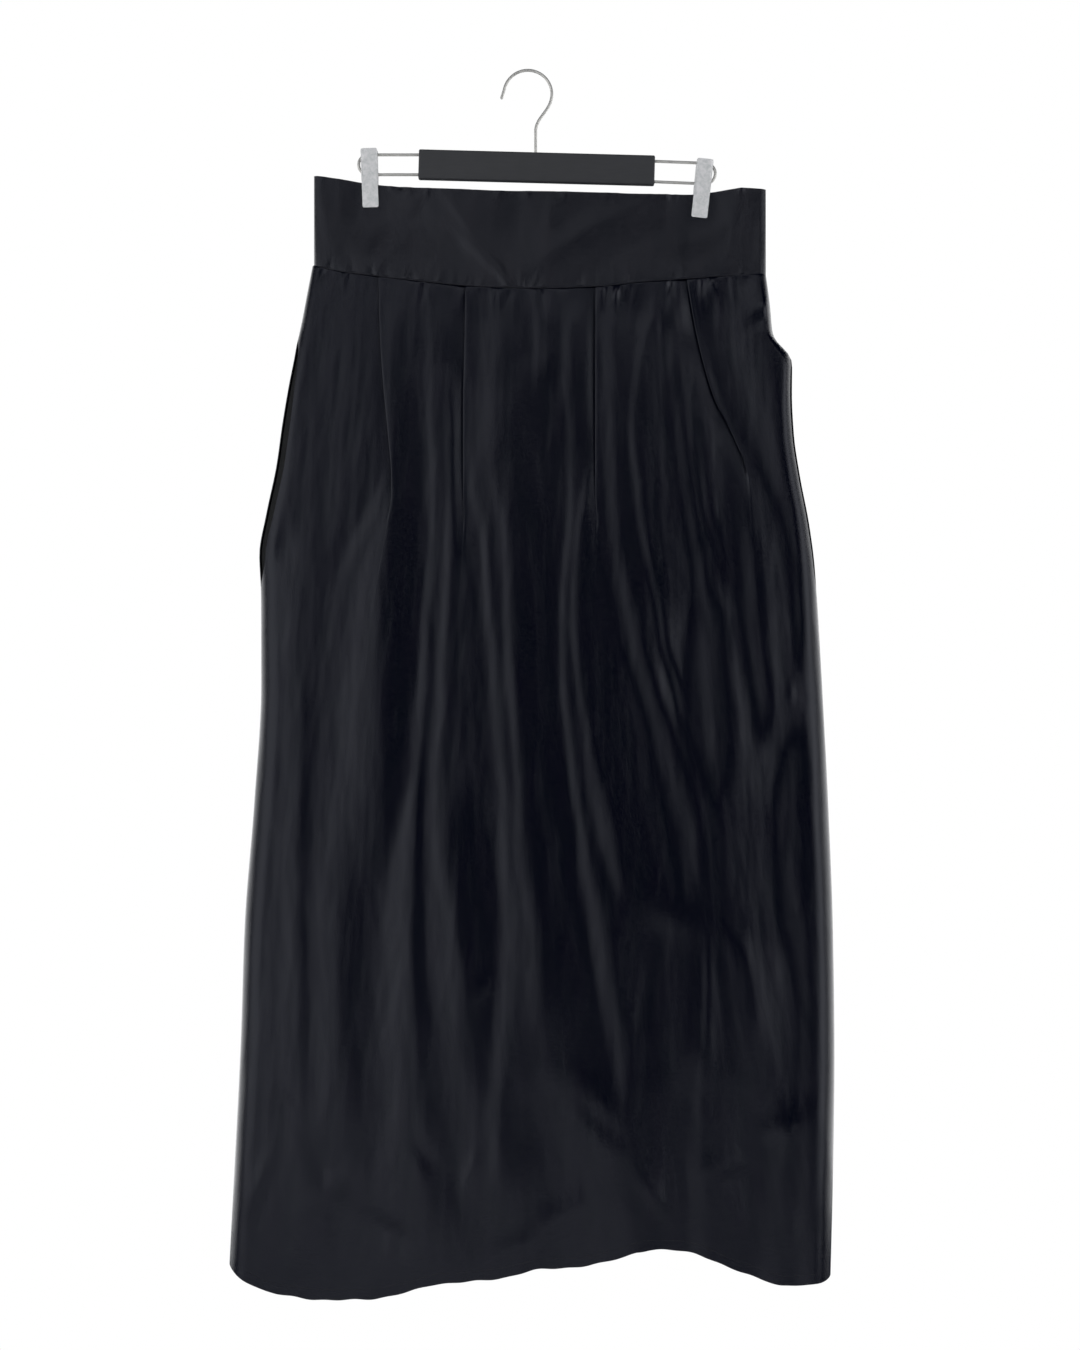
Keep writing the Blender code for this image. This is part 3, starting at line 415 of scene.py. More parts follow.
def wall(name, sections, thickness, finish):
    """A closed wall round the middle sections, each of which is (x, y, z) arrays."""
    rows, columns = len(sections), len(sections[0][0])
    places = np.empty((2, rows, columns, 3))
    for r, (x, y, z) in enumerate(sections):
        for k, sign in enumerate((1, -1)):
            wall_x, wall_y = offset_section(x, y, sign * thickness / 2)
            places[k, r] = np.stack((wall_x, wall_y, z), axis=1)
    index = np.arange(2 * rows * columns).reshape(2, rows, columns)
    near, far = index
    quads = []
    for side, flip in ((near, True), (far, False)):
        corners = (side[:-1, :-1], side[:-1, 1:], side[1:, 1:], side[1:, :-1])
        quads.append(np.stack(corners[::-1] if flip else corners, axis=-1).reshape(-1, 4))
    for r, flip in ((0, False), (-1, True)):
        corners = (near[r, :-1], near[r, 1:], far[r, 1:], far[r, :-1])
        quads.append(np.stack(corners[::-1] if flip else corners, axis=-1))
    for c, flip in ((0, False), (-1, True)):
        corners = (near[:-1, c], far[:-1, c], far[1:, c], near[1:, c])
        quads.append(np.stack(corners[::-1] if flip else corners, axis=-1))
    faces = np.concatenate(quads)
    return add_mesh(name, places.reshape(-1, 3), faces.tolist(), finish)


# By distance down a jaw: how far it stands off the middle plane, and how far its sides turn in
JAW = table("down stand_off edge", [
    (0.0, 5.8, 0.2),
    (1.5, 5.6, 1.2),
    (8.0, 4.2, 1.6),
    (12.0, 3.5, 1.6),
    (19.0, 3.6, 1.6),
    (27.0, 4.1, 0.9),
    (31.5, 4.3, 0.1),
    (43.0, 3.8, 0.0),
    (49.5, 2.9, 0.0),
    (54.3, 3.5, 0.0),
])

zinc, tree, shader = new_finish("worn zinc plating", roughness=0.5, Metallic=0.05)
patches, scratches = wear_on(tree, 230.0, 1500.0)
vary(tree, shader, spread(tree, patches, 0.0, 1.0, low=0.35, high=0.65),
     ((0.76, 0.78, 0.78), (1.0, 0.99, 1.0)), scratches, (0.26, 0.52), relief=scratches,
     depth=0.00012)

for side, end in ENDS.items():
    top, foot = np.array(end["clip_top"]), np.array(end["clip_foot"])
    lean = math.atan2(top[0] - foot[0], top[1] - foot[1])
    share = np.linspace(-0.5, 0.5, CLIP_COLUMNS)
    curl = np.clip((np.abs(share) - CLIP_CURL_START) / (0.5 - CLIP_CURL_START), 0.0, 1.0)
    jaw_length = JAW["down"][-1]
    for facing, jaw_name in ((-1, "front"), (1, "back")):
        sections = []
        for down in jaw_length * (1 - np.cos(np.linspace(0.0, math.pi, CLIP_ROWS))) / 2:
            from_end = min(down, jaw_length - down, CLIP_CORNER)
            corner = CLIP_CORNER - math.sqrt(from_end * (2 * CLIP_CORNER - from_end))
            across = (CLIP_WIDTH - 2 * corner) * share
            stand_off = read(JAW, "down", "stand_off", down) + CLIP_STEEL / 2
            y = facing * (stand_off - read(JAW, "down", "edge", down) * curl ** 2)
            x = top[0] + across * math.cos(lean) - down * math.sin(lean)
            z = top[1] - down * math.cos(lean) - across * math.sin(lean)
            sections.append((x, y, z))
        jaw = wall("clip_" + side + "_" + jaw_name, sections, CLIP_STEEL, zinc)
        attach(jaw, "skirt_on_hanger")
        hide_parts("clip_" + side + "_" + jaw_name + "_jaw")
    steps = np.arange(SPRING_TURNS * SPRING_STEPS + 1)
    angle = 2 * math.pi * steps / SPRING_STEPS
    along = SPRING_LENGTH * (steps / steps[-1] - 0.5)
    spring_down = top[1] - end["loop_z"]
    middle = (top[0] - spring_down * math.sin(lean), top[1] - spring_down * math.cos(lean))
    coil = np.stack((middle[0] + along * math.cos(lean) + SPRING_RADIUS * np.cos(angle)
                     * math.sin(lean), SPRING_RADIUS * np.sin(angle),
                     middle[1] + SPRING_RADIUS * np.cos(angle) - along * math.sin(lean)), axis=1)
    spring = round_wire("clip_" + side + "_coil", coil, SPRING_WIRE, wire_steel, sides=8)
    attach(spring, "skirt_on_hanger")
    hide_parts("clip_" + side + "_spring")


# The waistband: three wide, plain pieces of satin, doubled and stiffened, joined at the sides
# and open at the centre back for the zip. The clips pinch it flat, and it slackens elsewhere.
BAND_CLOTH = 2.0
BAND_ROUND = 6.0
BAND_ROLL = 0.45
FOOT_FADE = 1.5
SEAM_GAP = 0.3
CENTRE_BACK = 10.0
CLIP_GRIP = 1.6
GRIPPED_SHARE = 0.34
BAND_ROWS = 54
BAND_COLUMN_PITCH = 1.1
COLUMN_ROOM = 0.4
ROUND_STEPS = 12
CLIP_PLACES = (-146.0, 161.0)
CLIP_HOLD = 13.0
GRIP_END = 0.25
GRIP_FADE = 0.2
CALM_END = 10.0
CALM_CENTRE = 14.0
BACK_LEAN = 0.8

# Heights of the waistband's top edge and of the waist seam, across the skirt
WAIST = table("x top seam", [
    (-197.0, -97.0, -180.9),
    (-173.0, -100.4, -186.3),
    (-136.0, -105.6, -191.2),
    (-101.0, -108.4, -195.5),
    (-56.0, -110.6, -200.1),
    (-21.0, -112.3, -201.9),
    (11.0, -112.7, -202.4),
    (67.0, -113.7, -200.5),
    (104.0, -114.6, -196.6),
    (150.0, -114.3, -193.2),
    (172.0, -112.0, -191.3),
    (201.0, -108.6, -189.3),
    (219.5, -109.6, -188.6),
])
# Half depth of the waistband's top
PINCH = table("x half_depth", [
    (-197.0, 4.5),
    (-175.0, 4.5),
    (-156.0, CLIP_GRIP),
    (-136.0, CLIP_GRIP),
    (-105.0, 5.0),
    (-50.0, 9.0),
    (10.0, 10.5),
    (70.0, 9.0),
    (125.0, 5.0),
    (151.0, CLIP_GRIP),
    (171.0, CLIP_GRIP),
    (190.0, 4.5),
    (219.5, 4.5),
])
# Outline of the skirt from the front, by share of the drop from waist seam (0) to hem (1)
OUTLINE = table("drop left right", [
    (0.00, -198.9, 220.0),
    (0.03, -204.2, 223.6),
    (0.06, -209.5, 226.4),
    (0.07, -211.6, 232.0),
    (0.08, -213.8, 241.2),
    (0.09, -215.4, 244.4),
    (0.12, -220.9, 244.2),
    (0.16, -227.1, 246.0),
    (0.20, -232.3, 251.3),
    (0.25, -242.0, 260.1),
    (0.29, -248.2, 265.0),
    (0.33, -246.6, 267.5),
    (0.42, -246.4, 272.3),
    (0.54, -252.9, 277.9),
    (0.66, -261.5, 281.9),
    (0.78, -265.2, 283.2),
    (0.90, -270.7, 281.9),
    (1.00, -275.5, 279.7),
])
# How far the front and back stand from the middle plane, and how round the sides are
DEPTH = table("drop middle side round", [
    (0.00, 13.0, 8.0, 7.0),
    (0.06, 17.0, 12.0, 9.0),
    (0.12, 20.0, 15.0, 12.0),
    (0.20, 23.5, 18.0, 15.0),
    (0.33, 29.0, 20.0, 17.0),
    (0.50, 33.0, 22.0, 18.0),
    (0.75, 37.0, 24.0, 18.0),
    (1.00, 40.0, 26.0, 18.0),
])
# Soft creases in the waistband: place, share of its height, lean from upright, half length,
# half width and height
BAND_CREASES = table("x share lean length width height", [
    (-186.0, 0.5, -20.0, 36.0, 8.0, 1.47),
    (-168.0, 0.8, -30.0, 24.0, 6.0, -0.78),
    (-156.0, 0.62, 6.0, 18.0, 5.0, 0.59),
    (-134.0, 0.6, 24.0, 30.0, 9.0, 0.98),
    (-104.0, 0.35, 28.0, 24.0, 8.0, -0.88),
    (-86.0, 0.72, 14.0, 22.0, 7.0, 0.78),
    (-58.0, 0.32, -36.0, 30.0, 6.0, 1.37),
    (-42.0, 0.66, -44.0, 34.0, 6.0, 1.47),
    (-62.0, 0.7, -40.0, 26.0, 9.0, -0.98),
    (-24.0, 0.86, -30.0, 14.0, 5.0, 0.88),
    (-12.0, 0.4, 4.0, 36.0, 14.0, -1.47),
    (22.0, 0.3, 10.0, 28.0, 9.0, 1.08),
    (44.0, 0.45, 54.0, 46.0, 11.0, 1.86),
    (88.0, 0.24, 60.0, 38.0, 9.0, 1.47),
    (92.0, 0.62, 58.0, 50.0, 13.0, -1.37),
    (130.0, 0.66, 38.0, 30.0, 11.0, -0.88),
    (142.0, 0.5, 10.0, 26.0, 7.0, 0.78),
    (170.0, 0.66, 16.0, 26.0, 8.0, 0.88),
    (190.0, 0.4, 14.0, 36.0, 8.0, 1.57),
    (207.0, 0.62, 8.0, 30.0, 6.0, -0.88),
])
PUCKER_SEED = 11
PUCKER_COUNT = 58
PUCKER_LEAN = 14.0
PUCKER_LENGTHS = (0.5, 1.3)
PUCKER_WIDTHS = (1.6, 3.6)


def ease(t):
    t = np.clip(t, 0.0, 1.0)
    return t * t * (3 - 2 * t)


def flat_depth(x, drop):
    """Distance of the cloth from the middle plane, before the sides are rounded."""
    left = read(OUTLINE, "drop", "left", drop)
    right = read(OUTLINE, "drop", "right", drop)
    across = (2 * x - left - right) / (right - left)
    side = read(DEPTH, "drop", "side", drop)
    return side + (read(DEPTH, "drop", "middle", drop) - side) * (1 - across ** 2)


def rounded(x, left, right, radius):
    """Share of the depth that is left near a side seam, from 0 at the seam to 1."""
    inset = np.clip(np.minimum(x - left, right - x) / radius, 0.0, 1.0)
    return np.sqrt(1 - (1 - inset) ** 2)


def band_depth(x, share):
    """Half depth of the waistband from its top (0) to the waist seam (1)."""
    top = read(PINCH, "x", "half_depth", x)
    slack = ease((share - GRIPPED_SHARE) / (1 - GRIPPED_SHARE))
    depth = top + (flat_depth(x, 0.0) - top) * slack
    return depth * rounded(x, WAIST["x"][0], WAIST["x"][-1], BAND_ROUND)


def cloth_wall(name, sections, thickness, finish, width, length):
    """A wall of cloth, with a UV map in metres: across the threads, and down along them."""
    made = wall(name, sections, thickness, finish)
    down = np.array([z.mean() for _, _, z in sections])
    down = ((down[0] - down) / (down[0] - down[-1]))[:, None]
    (top_x, _, _), (foot_x, _, _) = sections[0], sections[-1]
    left = top_x[0] + (foot_x[0] - top_x[0]) * down
    right = top_x[-1] + (foot_x[-1] - top_x[-1]) * down
    across = (np.array([x for x, _, _ in sections]) - left) / (right - left)
    grid = np.stack(np.broadcast_arrays(across * width, down * length), axis=-1)
    both = np.concatenate((grid, grid)).reshape(-1, 2)
    corner = np.empty(len(made.data.loops), int)
    made.data.loops.foreach_get("vertex_index", corner)
    threads = made.data.uv_layers.new(name="threads")
    threads.uv.foreach_set("vector", both[corner].ravel())
    return made


def creases(source, x, z):
    """Sum of short soft creases, each an oval bump at its place, leaning from upright."""
    total = np.zeros_like(x)
    for crest_x, crest_z, lean, length, width, height in zip(*source.values()):
        turned = math.radians(lean)
        right, up = x - crest_x, z - crest_z
        along = right * math.sin(turned) + up * math.cos(turned)
        across = right * math.cos(turned) - up * math.sin(turned)
        total += height * np.exp(-(along / length) ** 2 - (across / width) ** 2)
    return total


def seam_puckers(seed, count, left, right, seam_z, reach, strength):
    """Small uneven puckers that a seam draws into the cloth beside it."""
    random = np.random.default_rng(seed)
    x = np.sort(random.uniform(left, right, count))
    z = np.array([seam_z(place) for place in x])
    return {"x": x, "z": z, "lean": random.normal(0.0, PUCKER_LEAN, count),
            "length": reach * random.uniform(*PUCKER_LENGTHS, count),
            "width": random.uniform(*PUCKER_WIDTHS, count),
            "height": strength * random.uniform(-1.0, 1.0, count)}


woven_cloth, taken, given = new_group(
    "woven cloth",
    [("Threads", "NodeSocketVector", None), ("Thread Pitch", "NodeSocketFloat", 0.0005),
     ("Slub Width", "NodeSocketFloat", 0.0016), ("Slub Length", "NodeSocketFloat", 0.0028),
     ("Slack Width", "NodeSocketFloat", 0.018), ("Slack Length", "NodeSocketFloat", 0.06),
     ("Pick Length", "NodeSocketFloat", 0.016), ("Pick Width", "NodeSocketFloat", 0.0012)],
    [("Shade", "NodeSocketFloat"), ("Slubs", "NodeSocketFloat"), ("Slack", "NodeSocketFloat"),
     ("Weave", "NodeSocketFloat")])


def calculate(tree, operation, *values):
    """What a Math node makes of values and links."""
    made = add_node(tree, "ShaderNodeMath", {"operation": operation})
    for socket, value in zip(made.inputs, values):
        feed(tree, socket, value)
    return made.outputs["Value"]


def cloth_noise(width, length, detail, roughness):
    """A noise whose grains are as wide and long along the threads as the two sizes say."""
    parts = add_node(woven_cloth, "ShaderNodeSeparateXYZ", Vector=taken.outputs["Threads"])
    across, along = (calculate(woven_cloth, "DIVIDE", parts.outputs[axis], taken.outputs[size])
                     for axis, size in (("X", width), ("Y", length)))
    vector = add_node(woven_cloth, "ShaderNodeCombineXYZ", X=across, Y=along)
    noise = add_node(woven_cloth, "ShaderNodeTexNoise", Vector=vector.outputs["Vector"],
                     Scale=1.0, Detail=detail, Roughness=roughness)
    return noise.outputs["Fac"]


def thread_wave(axis):
    """Rounded threads, side by side along one axis, from 0 between them to 1."""
    parts = add_node(woven_cloth, "ShaderNodeSeparateXYZ", Vector=taken.outputs["Threads"])
    turns = calculate(woven_cloth, "DIVIDE", parts.outputs[axis], taken.outputs["Thread Pitch"])
    wave = calculate(woven_cloth, "SINE", calculate(woven_cloth, "MULTIPLY", turns, math.pi))
    return calculate(woven_cloth, "ABSOLUTE", wave)


PICK_HEIGHT = 3.0
WEFT_HEIGHT = 0.5
SLUB_SHADE = 0.6
SLACK_SHADE = 0.4
slubs = cloth_noise("Slub Width", "Slub Length", detail=4.0, roughness=0.8)
slack = cloth_noise("Slack Width", "Slack Length", detail=1.3, roughness=0.4)
picks = cloth_noise("Pick Length", "Pick Width", detail=2.0, roughness=0.5)
thick_picks = calculate(woven_cloth, "MULTIPLY_ADD", picks, PICK_HEIGHT, thread_wave("X"))
weave = calculate(woven_cloth, "MULTIPLY_ADD", thread_wave("Y"), WEFT_HEIGHT, thick_picks)
slub_shade = calculate(woven_cloth, "MULTIPLY", slubs, SLUB_SHADE)
shade = calculate(woven_cloth, "MULTIPLY_ADD", slack, SLACK_SHADE, slub_shade)
for output, value in (("Shade", shade), ("Slubs", slubs), ("Slack", slack), ("Weave", weave)):
    woven_cloth.links.new(value, given.inputs[output])


def woven_finish(name, dark, light, roughness, slub_depth, slack_depth, weave_depth,
                 thread_pitch=0.0005, slub_width=0.0016, **constants):
    """A cloth whose colour, gloss and relief vary along its own threads. Depths in metres."""
    made, tree, shader = new_finish(name, roughness=roughness[0], **constants)
    threads = add_node(tree, "ShaderNodeUVMap", {"uv_map": "threads"})
    cloth = use_group(tree, woven_cloth, Threads=threads.outputs["UV"],
                      Thread_Pitch=thread_pitch, Slub_Width=slub_width)
    vary(tree, shader, spread(tree, cloth.outputs["Shade"], 0.0, 1.0), (dark, light),
         cloth.outputs["Slubs"], roughness)
    normal = None
    for pattern, depth in (("Slack", slack_depth), ("Slubs", slub_depth),
                           ("Weave", weave_depth)):
        layer = add_node(tree, "ShaderNodeBump", Strength=1.0, Distance=depth,
                         Height=cloth.outputs[pattern])
        if normal:
            tree.links.new(normal, layer.inputs["Normal"])
        normal = layer.outputs["Normal"]
    tree.links.new(normal, shader.inputs["Normal"])
    return made


satin = woven_finish("black satin", (0.0000, 0.0013, 0.0048), (0.0014, 0.0008, 0.0064),
                     (0.07, 0.18), slub_depth=0.00016, slack_depth=0.0010,
                     weave_depth=0.00002, slub_width=0.0013,
                     Specular_IOR_Level=0.34, Specular_Tint=(0.86, 0.89, 1.0, 1.0))
stiffened_satin = woven_finish("stiffened black satin", (0.0000, 0.0010, 0.0044),
                               (0.0075, 0.0068, 0.0110), (0.12, 0.24), slub_depth=0.00034,
                               slack_depth=0.0009, weave_depth=0.00002, slub_width=0.0013,
                               Specular_IOR_Level=0.38,
                               Specular_Tint=(0.86, 0.89, 1.0, 1.0))


def band_places(start, stop):
    """Columns along the waistband, close together at its round ends."""
    left, right = WAIST["x"][0], WAIST["x"][-1]
    bend = BAND_ROUND * (1 - np.cos(np.linspace(0.0, math.pi / 2, ROUND_STEPS)))
    even = np.arange(left + BAND_ROUND + BAND_COLUMN_PITCH,
                     right - BAND_ROUND - BAND_COLUMN_PITCH / 2, BAND_COLUMN_PITCH)
    places = np.concatenate((left + bend, even, (right - bend)[::-1]))
    inside = places[(places > start + COLUMN_ROOM) & (places < stop - COLUMN_ROOM)]
    return np.concatenate(([start], inside, [stop]))


def seam_height(x):
    return float(read(WAIST, "x", "seam", x))


def top_height(x):
    return float(read(WAIST, "x", "top", x))


def band_sections(x, facing, seed):
    """Rows of the waistband from its top to the waist seam, with its creases and puckers."""
    top = read(WAIST, "x", "top", x)
    foot = read(WAIST, "x", "seam", x) + SEAM_GAP / 2
    folds = dict(BAND_CREASES)
    fold_top = read(WAIST, "x", "top", folds["x"])
    fold_foot = read(WAIST, "x", "seam", folds["x"])
    folds["share"] = fold_top + (fold_foot - fold_top) * folds["share"]
    if facing > 0:
        folds["x"] = CENTRE_BACK * 2 - folds["x"][::-1]
        folds["lean"] = -folds["lean"][::-1] * BACK_LEAN
    low = seam_puckers(seed, PUCKER_COUNT, x[0], x[-1], seam_height, reach=12.0, strength=1.0)
    high = seam_puckers(seed + 1, PUCKER_COUNT, x[0], x[-1], top_height, reach=6.0,
                        strength=0.75)
    calm = ease(np.minimum(x - WAIST["x"][0], WAIST["x"][-1] - x) / CALM_END)
    if facing > 0:
        calm = calm * np.clip(np.abs(x - CENTRE_BACK) / CALM_CENTRE, 0.0, 1.0)
    from_clip = np.minimum(*(np.abs(x - place) for place in CLIP_PLACES))
    gripped = np.exp(-(from_clip / CLIP_HOLD) ** 4)
    rows = []
    for share in 0.5 - 0.5 * np.cos(np.linspace(0.0, math.pi, BAND_ROWS)):
        z = top + (foot - top) * share
        held = gripped * (1 - ease((share - GRIP_END) / GRIP_FADE))
        raised = creases(folds, x, z) + creases(low, x, z) + creases(high, x, z)
        raised *= (1 - held) * calm * ease((z - foot) / FOOT_FADE)
        rolled_in = BAND_ROLL * np.exp(-((z - foot) / BAND_ROLL) ** 2)
        rows.append((x, facing * (band_depth(x, share) + raised - rolled_in), z))
    return rows


BAND_HEIGHT_METRES = 0.087
middle_left, middle_right = CENTRE_BACK - SEAM_GAP / 2, CENTRE_BACK + SEAM_GAP / 2
for name, start, stop, facing, seed, cut_width in (
        ("waistband_front_cloth", WAIST["x"][0], WAIST["x"][-1], -1, PUCKER_SEED, 0.430),
        ("waistband_back_left_cloth", WAIST["x"][0], middle_left, 1, PUCKER_SEED + 2, 0.212),
        ("waistband_back_right_cloth", middle_right, WAIST["x"][-1], 1, PUCKER_SEED + 4,
         0.215)):
    band = cloth_wall(name, band_sections(band_places(start, stop), facing, seed), BAND_CLOTH,
                      stiffened_satin, cut_width, BAND_HEIGHT_METRES)
    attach(band, "skirt_on_hanger")
    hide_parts(name.replace("_cloth", ""))


# The waist seam's stitches: black thread in the ditch between the waistband and the skirt,
# one short stitch after another, all round.
STITCH_SIDES = 6
STITCH_RINGS = 4
SEAM_STITCH = {"Length": 2.2, "Across": 0.5, "Thickness": 0.5, "Pitch": 2.9, "Unevenness": 0.25}
DITCH_DEPTH = 0.5
SEAM_LINE_INSET = 4.0
SEAM_LINE_POINTS = 160
SEAM_LINE_BREAK = 0.5

stitching = bpy.data.node_groups.new("stitches along a line", "GeometryNodeTree")
stitching.interface.new_socket("Line", in_out="INPUT", socket_type="NodeSocketGeometry")
for socket_name in ("Length", "Across", "Thickness", "Pitch", "Unevenness"):
    stitching.interface.new_socket(socket_name, in_out="INPUT", socket_type="NodeSocketFloat")
stitching.interface.new_socket("Seed", in_out="INPUT", socket_type="NodeSocketInt")
stitching.interface.new_socket("Thread", in_out="INPUT", socket_type="NodeSocketMaterial")
stitching.interface.new_socket("Stitches", in_out="OUTPUT", socket_type="NodeSocketGeometry")
taken, given = stitching.nodes.new("NodeGroupInput"), stitching.nodes.new("NodeGroupOutput")
line = add_node(stitching, "GeometryNodeMeshToCurve", Mesh=taken.outputs["Line"])
spaced = add_node(stitching, "GeometryNodeResampleCurve", {"mode": "LENGTH"},
                  Curve=line.outputs["Curve"], Length=taken.outputs["Pitch"])
heading = add_node(stitching, "GeometryNodeInputTangent")
along = add_node(stitching, "FunctionNodeAlignRotationToVector", {"axis": "Z"},
                 Vector=heading.outputs["Tangent"])
upright = add_node(stitching, "FunctionNodeAlignRotationToVector",
                   {"axis": "Y", "pivot_axis": "Z"}, Vector=(0.0, 1.0, 0.0),
                   Rotation=along.outputs["Rotation"])
varied = add_node(stitching, "FunctionNodeRandomValue", {"data_type": "FLOAT"},
                  Seed=taken.outputs["Seed"])
for socket, operation in ((varied.inputs[2], "SUBTRACT"), (varied.inputs[3], "ADD")):
    feed(stitching, socket, calculate(stitching, operation, 1.0, taken.outputs["Unevenness"]))
size = add_node(stitching, "ShaderNodeCombineXYZ", X=taken.outputs["Across"],
                Y=taken.outputs["Thickness"], Z=taken.outputs["Length"])
grown = add_node(stitching, "ShaderNodeVectorMath", {"operation": "SCALE"},
                 Vector=size.outputs["Vector"], Scale=varied.outputs[1])
body = add_node(stitching, "GeometryNodeMeshUVSphere", Segments=STITCH_SIDES,
                Rings=STITCH_RINGS, Radius=0.5)
placed = add_node(stitching, "GeometryNodeInstanceOnPoints", Points=spaced.outputs["Curve"],
                  Instance=body.outputs["Mesh"], Rotation=upright.outputs["Rotation"],
                  Scale=grown.outputs["Vector"])
made = add_node(stitching, "GeometryNodeRealizeInstances",
                Geometry=placed.outputs["Instances"])
coloured = add_node(stitching, "GeometryNodeSetMaterial", Geometry=made.outputs["Geometry"],
                    Material=taken.outputs["Thread"])
stitching.links.new(coloured.outputs["Geometry"], given.inputs["Stitches"])


def stitch(name, lines, sizes, seed, thread):
    """Stitches along lines of places in millimetres, as one plain mesh."""
    places, edges = [], []
    for line_places in lines:
        first = len(places)
        places += (np.asarray(line_places, float) * MM).tolist()
        edges += [(k, k + 1) for k in range(first, len(places) - 1)]
    mesh = bpy.data.meshes.new(name)
    mesh.from_pydata(places, edges, [])
    stitches = bpy.data.objects.new(name, mesh)
    scene.collection.objects.link(stitches)
    work = stitches.modifiers.new("stitching", "NODES")
    work.node_group = stitching
    values = {key: value if key == "Unevenness" else value * MM for key, value in sizes.items()}
    values.update({"Seed": seed, "Thread": thread})
    for socket in stitching.interface.items_tree:
        if socket.in_out == "INPUT" and socket.name in values:
            work[socket.identifier] = values[socket.name]
    shape = stitches.evaluated_get(bpy.context.evaluated_depsgraph_get())
    stitches.data = bpy.data.meshes.new_from_object(shape)
    stitches.modifiers.remove(work)
    stitches.data.materials.clear()
    stitches.data.materials.append(thread)
    stitches.data.shade_smooth()
    return stitches


black_thread, tree, shader = new_finish("black sewing thread", roughness=0.55)
fibres = add_node(tree, "ShaderNodeTexNoise", Vector=object_place(tree), Scale=2500.0,
                  Detail=3.0).outputs["Fac"]
vary(tree, shader, fibres, ((0.003, 0.003, 0.005), (0.012, 0.011, 0.014)), fibres,
     (0.45, 0.65), relief=fibres, depth=0.0001)

x = np.linspace(WAIST["x"][0] + SEAM_LINE_INSET, WAIST["x"][-1] - SEAM_LINE_INSET,
                SEAM_LINE_POINTS)
seam_z = read(WAIST, "x", "seam", x)
ditch_y = band_depth(x, 1.0) + BAND_CLOTH / 2 - DITCH_DEPTH
seam_lines = [np.stack((x, -ditch_y, seam_z), axis=1)]
for beside in (x < CENTRE_BACK - SEAM_LINE_BREAK, x > CENTRE_BACK + SEAM_LINE_BREAK):
    seam_lines.append(np.stack((x, ditch_y, seam_z), axis=1)[beside])
waist_stitches = stitch("waist_seam_stitches", seam_lines, SEAM_STITCH, 3, black_thread)
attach(waist_stitches, "skirt_on_hanger")


# The front of the skirt: one panel of satin, laid in four knife pleats that the waistband
# holds. They open below the hips into long soft folds down to a narrow stitched hem.
CLOTH = 0.8
FRONT_ROWS = 137
FRONT_COLUMNS = (44, 48, 74, 56, 36)
SIDE_STEPS = 10
TURN_STEPS = 7
FULL_TURN_OVERLAP = 3.0
TURN_REACH = (0.9, 0.5, 0.5, 0.5)
MIDDLE_LAYER = (0.54, 0.46)
PLEAT_DIP = 3.0
PLEAT_NAMES = ("first", "second", "third", "fourth")
SETTLE = 75
LEVEL_SLOPE = 0.07
FULL_FOLD_DEGREES = 6.0
SEAM_HOLD = 0.35
SEAM_FADE = 0.04
SEAM_ROLL = 0.45
TUCK_IN = 0.6
PUCKER_FADE = 2.5
TOP_DROPS = (0.0, 0.0006, 0.0012, 0.002)
ROW_SPREAD = 1.15
HEM_WAVE = 0.9
HEM_WAVE_REACH = 6.0
HEM_WAVE_SWELL = 17.0

# Height of the hem, across the skirt
FRONT_HEM = table("x z", [
    (-275.5, -1102.0),
    (-266.0, -1109.0),
    (-254.0, -1114.6),
    (-237.0, -1122.2),
    (-216.0, -1125.8),
    (-176.0, -1128.8),
    (-143.0, -1126.8),
    (-111.0, -1120.4),
    (-83.0, -1112.2),
    (-45.0, -1109.5),
    (-23.0, -1106.7),
    (9.0, -1099.8),
    (42.0, -1097.4),
    (64.0, -1094.0),
    (86.0, -1087.6),
    (108.0, -1081.4),
    (130.0, -1082.1),
    (152.0, -1085.2),
    (184.0, -1099.5),
    (217.0, -1111.3),
    (234.0, -1116.7),
    (255.0, -1115.8),
    (279.7, -1111.2),
])
# Visible edges of the pleats. The cloth right of an edge lies over the cloth left of it.
FRONT_PLEATS = table("drop first second third fourth", [
    (0.00, -136.8, -56.8, 62.9, 147.0),
    (0.06, -135.0, -57.6, 62.8, 157.0),
    (0.12, -130.8, -58.7, 62.7, 172.0),
    (0.16, -127.1, -58.7, 62.7, 190.0),
    (0.20, -124.0, -58.5, 62.7, 203.0),
    (0.25, -127.7, -58.0, 63.9, 209.0),
    (0.33, -135.7, -56.5, 65.8, 212.0),
    (0.42, -143.5, -54.5, 73.2, 213.0),
    (0.54, -153.0, -54.0, 81.0, 214.0),
    (0.66, -160.0, -57.0, 87.5, 214.0),
    (0.78, -166.6, -61.0, 92.7, 214.0),
    (1.00, -178.8, -68.2, 101.6, 214.0),
])
# A pleat's overlap, which turns into a soft open step (minus) lower down, and its step in depth
FRONT_OVERLAP = table("drop first second third fourth step", [
    (0.00, 13.0, 13.0, 13.0, 13.0, 3.8),
    (0.10, 11.0, 11.5, 12.0, 9.0, 3.8),
    (0.16, 7.0, 8.0, 9.0, 3.0, 3.2),
    (0.21, 2.0, 3.0, 5.0, -4.0, 1.6),
    (0.23, -1.0, 0.5, 2.0, -7.0, 0.5),
    (0.25, -4.0, -2.0, -1.0, -9.0, 0.1),
    (0.36, -15.0, -13.0, -10.0, -18.0, 0.0),
    (1.00, -34.0, -34.0, -34.0, -26.0, 0.0),
])
# Pocket mouths in the side seams: how far the front's edge stands in from the outline
MOUTH = table("drop left right", [
    (0.070, 0.0, 0.0),
    (0.085, 3.5, 2.0),
    (0.120, 7.0, 3.0),
    (0.170, 9.0, 3.0),
    (0.230, 9.0, 3.0),
    (0.290, 7.5, 2.5),
    (0.325, 0.0, 0.0),
])

